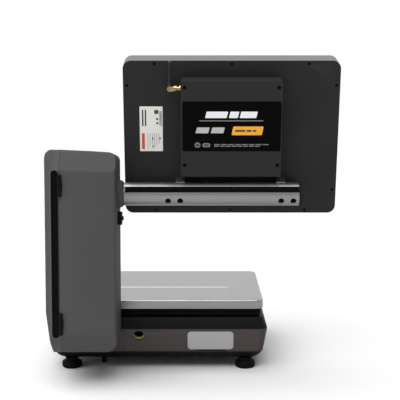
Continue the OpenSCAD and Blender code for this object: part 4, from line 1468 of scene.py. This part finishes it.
@dataclass
class Studio:
    """Floor, lights and camera. Sizes are in metres."""

    eye: Point3 = (-0.0087, 1.709, 0.516)
    pitch: float = 4.52
    lens: float = 88.65
    rise: float = -0.14
    side: float = 0.0125
    backdrop: float = 1.0
    ambient: Point2 = (0.17, 0.55)
    glare: float = 0.75
    dim: float = 0.25
    sun: float = 2.5
    softness: float = 70.0
    sun_from: Point3 = (0.2, 0.3, 1.0)
    aim: Point3 = (0.0, 0.0, 0.25)
    floor_reach: float = 3.0
    floor_tone_and_reflected_shade: Point2 = (0.93, 0.45)

    def build(self) -> None:
        """Sets the stage."""
        self._floor()
        self._lights()
        self._camera()

    def _floor(self) -> None:
        """A wide pale floor, darker to glossy rays: painted shade in reflections."""
        mesh = bpy.data.meshes.new("floor")
        r = self.floor_reach
        mesh.from_pydata([(-r, -r, 0), (r, -r, 0), (r, r, 0), (-r, r, 0)], [], [(0, 1, 2, 3)])
        floor = as_object("floor", mesh)
        paint = bpy.data.materials.new("pale_floor_with_reflected_shade")
        paint.use_nodes = True
        shader = paint.node_tree.nodes["Principled BSDF"]
        tree = paint.node_tree
        # Glossy rays see the floor at a lower tone: painted shade in the reflections of shiny parts.
        path = tree.nodes.new("ShaderNodeLightPath")
        tone = tree.nodes.new("ShaderNodeMapRange")
        tone.inputs["To Min"].default_value, tone.inputs["To Max"].default_value = self.floor_tone_and_reflected_shade
        tree.links.new(path.outputs["Is Glossy Ray"], tone.inputs["Value"])
        tree.links.new(tone.outputs["Result"], shader.inputs["Base Color"])
        shader.inputs["Roughness"].default_value = 0.9
        shader.inputs["Specular IOR Level"].default_value = 0.1
        mesh.materials.append(paint)

    def _area(self, name: str, place: Point3, size: float, power: float) -> None:
        """Adds one soft square light that faces the scale."""
        lamp = bpy.data.lights.new(name, "AREA")
        lamp.shape = "SQUARE"
        lamp.size = size
        lamp.energy = power
        made = bpy.data.objects.new(name, lamp)
        bpy.context.scene.collection.objects.link(made)
        made.location = place
        made.rotation_euler = (Vector(self.aim) - Vector(place)).to_track_quat("-Z", "Y").to_euler()

    def _lights(self) -> None:
        """A white surround, a broad light overhead, and soft lights beside and before the scale."""
        world = bpy.data.worlds.new("surround")
        bpy.context.scene.world = world
        world.use_nodes = True
        tree = world.node_tree
        around = tree.nodes.new("ShaderNodeTexCoord")
        split = tree.nodes.new("ShaderNodeSeparateXYZ")
        tree.links.new(around.outputs["Generated"], split.inputs[0])
        gloss = self._ramp(tree, split.outputs["Y"], 0.3, self.glare, self.dim)
        ambient = self._ramp(tree, split.outputs["X"], 0.6, self.ambient[0], self.ambient[1])
        path = tree.nodes.new("ShaderNodeLightPath")
        soft = self._choose(tree, path.outputs["Is Diffuse Ray"], gloss, ambient)
        white = tree.nodes.new("ShaderNodeValue").outputs[0]
        white.default_value = self.backdrop
        seen = self._choose(tree, path.outputs["Is Camera Ray"], soft, white)
        tree.links.new(seen, tree.nodes["Background"].inputs["Strength"])
        tree.nodes["Background"].inputs["Color"].default_value = (1, 1, 1, 1)
        lamp = bpy.data.lights.new("overhead", "SUN")
        lamp.energy = self.sun
        lamp.angle = math.radians(self.softness)
        made = bpy.data.objects.new("overhead", lamp)
        bpy.context.scene.collection.objects.link(made)
        made.rotation_euler = (Vector((0, 0, 0)) - Vector(self.sun_from)).to_track_quat("-Z", "Y").to_euler()
        self._area("tower_side", (2.3, 1.2, 1.3), 1.4, 5)
        self._area("camera_side", (0.4, 2.6, 2.9), 1.8, 16)

    @staticmethod
    def _choose(tree: Tree, when: Socket, other: Socket, value: Socket) -> Socket:
        """One value where a ray is of a kind, and another elsewhere."""
        node = tree.nodes.new("ShaderNodeMix")
        for place, source in ((0, when), (2, other), (3, value)):
            tree.links.new(source, node.inputs[place])
        return node.outputs[0]

    @staticmethod
    def _ramp(tree: Tree, along: Socket, reach: float, low: float, high: float) -> Socket:
        """A strength that runs from low to high across the middle of a direction."""
        node = tree.nodes.new("ShaderNodeMapRange")
        for name, value in (("From Min", -reach), ("From Max", reach), ("To Min", low), ("To Max", high)):
            node.inputs[name].default_value = value
        tree.links.new(along, node.inputs["Value"])
        return node.outputs["Result"]

    def _camera(self) -> None:
        """The camera behind the scale, level with the top of the screen."""
        data = bpy.data.cameras.new("camera")
        camera = bpy.data.objects.new("camera", data)
        bpy.context.scene.collection.objects.link(camera)
        camera.location = self.eye
        camera.rotation_euler = (math.radians(90 - self.pitch), 0, math.radians(180))
        data.lens = self.lens
        data.sensor_width = 36.0
        data.shift_x = self.side
        data.shift_y = self.rise
        bpy.context.scene.camera = camera


def main() -> None:
    """Builds the whole scene."""
    logging.basicConfig(level=logging.INFO, format="%(name)s %(message)s")
    bpy.context.scene.view_settings.view_transform = "Standard"
    studio = Studio()
    studio.build()
    shop = Workshop()
    for part in (WeighingBase(shop), PrinterTower(shop), RailAndScreen(shop)):
        part.build()
        LOG.info("%s done", type(part).__name__)
    LOG.info("%d pieces fastened", shop.count)


if __name__ == "__main__":
    main()
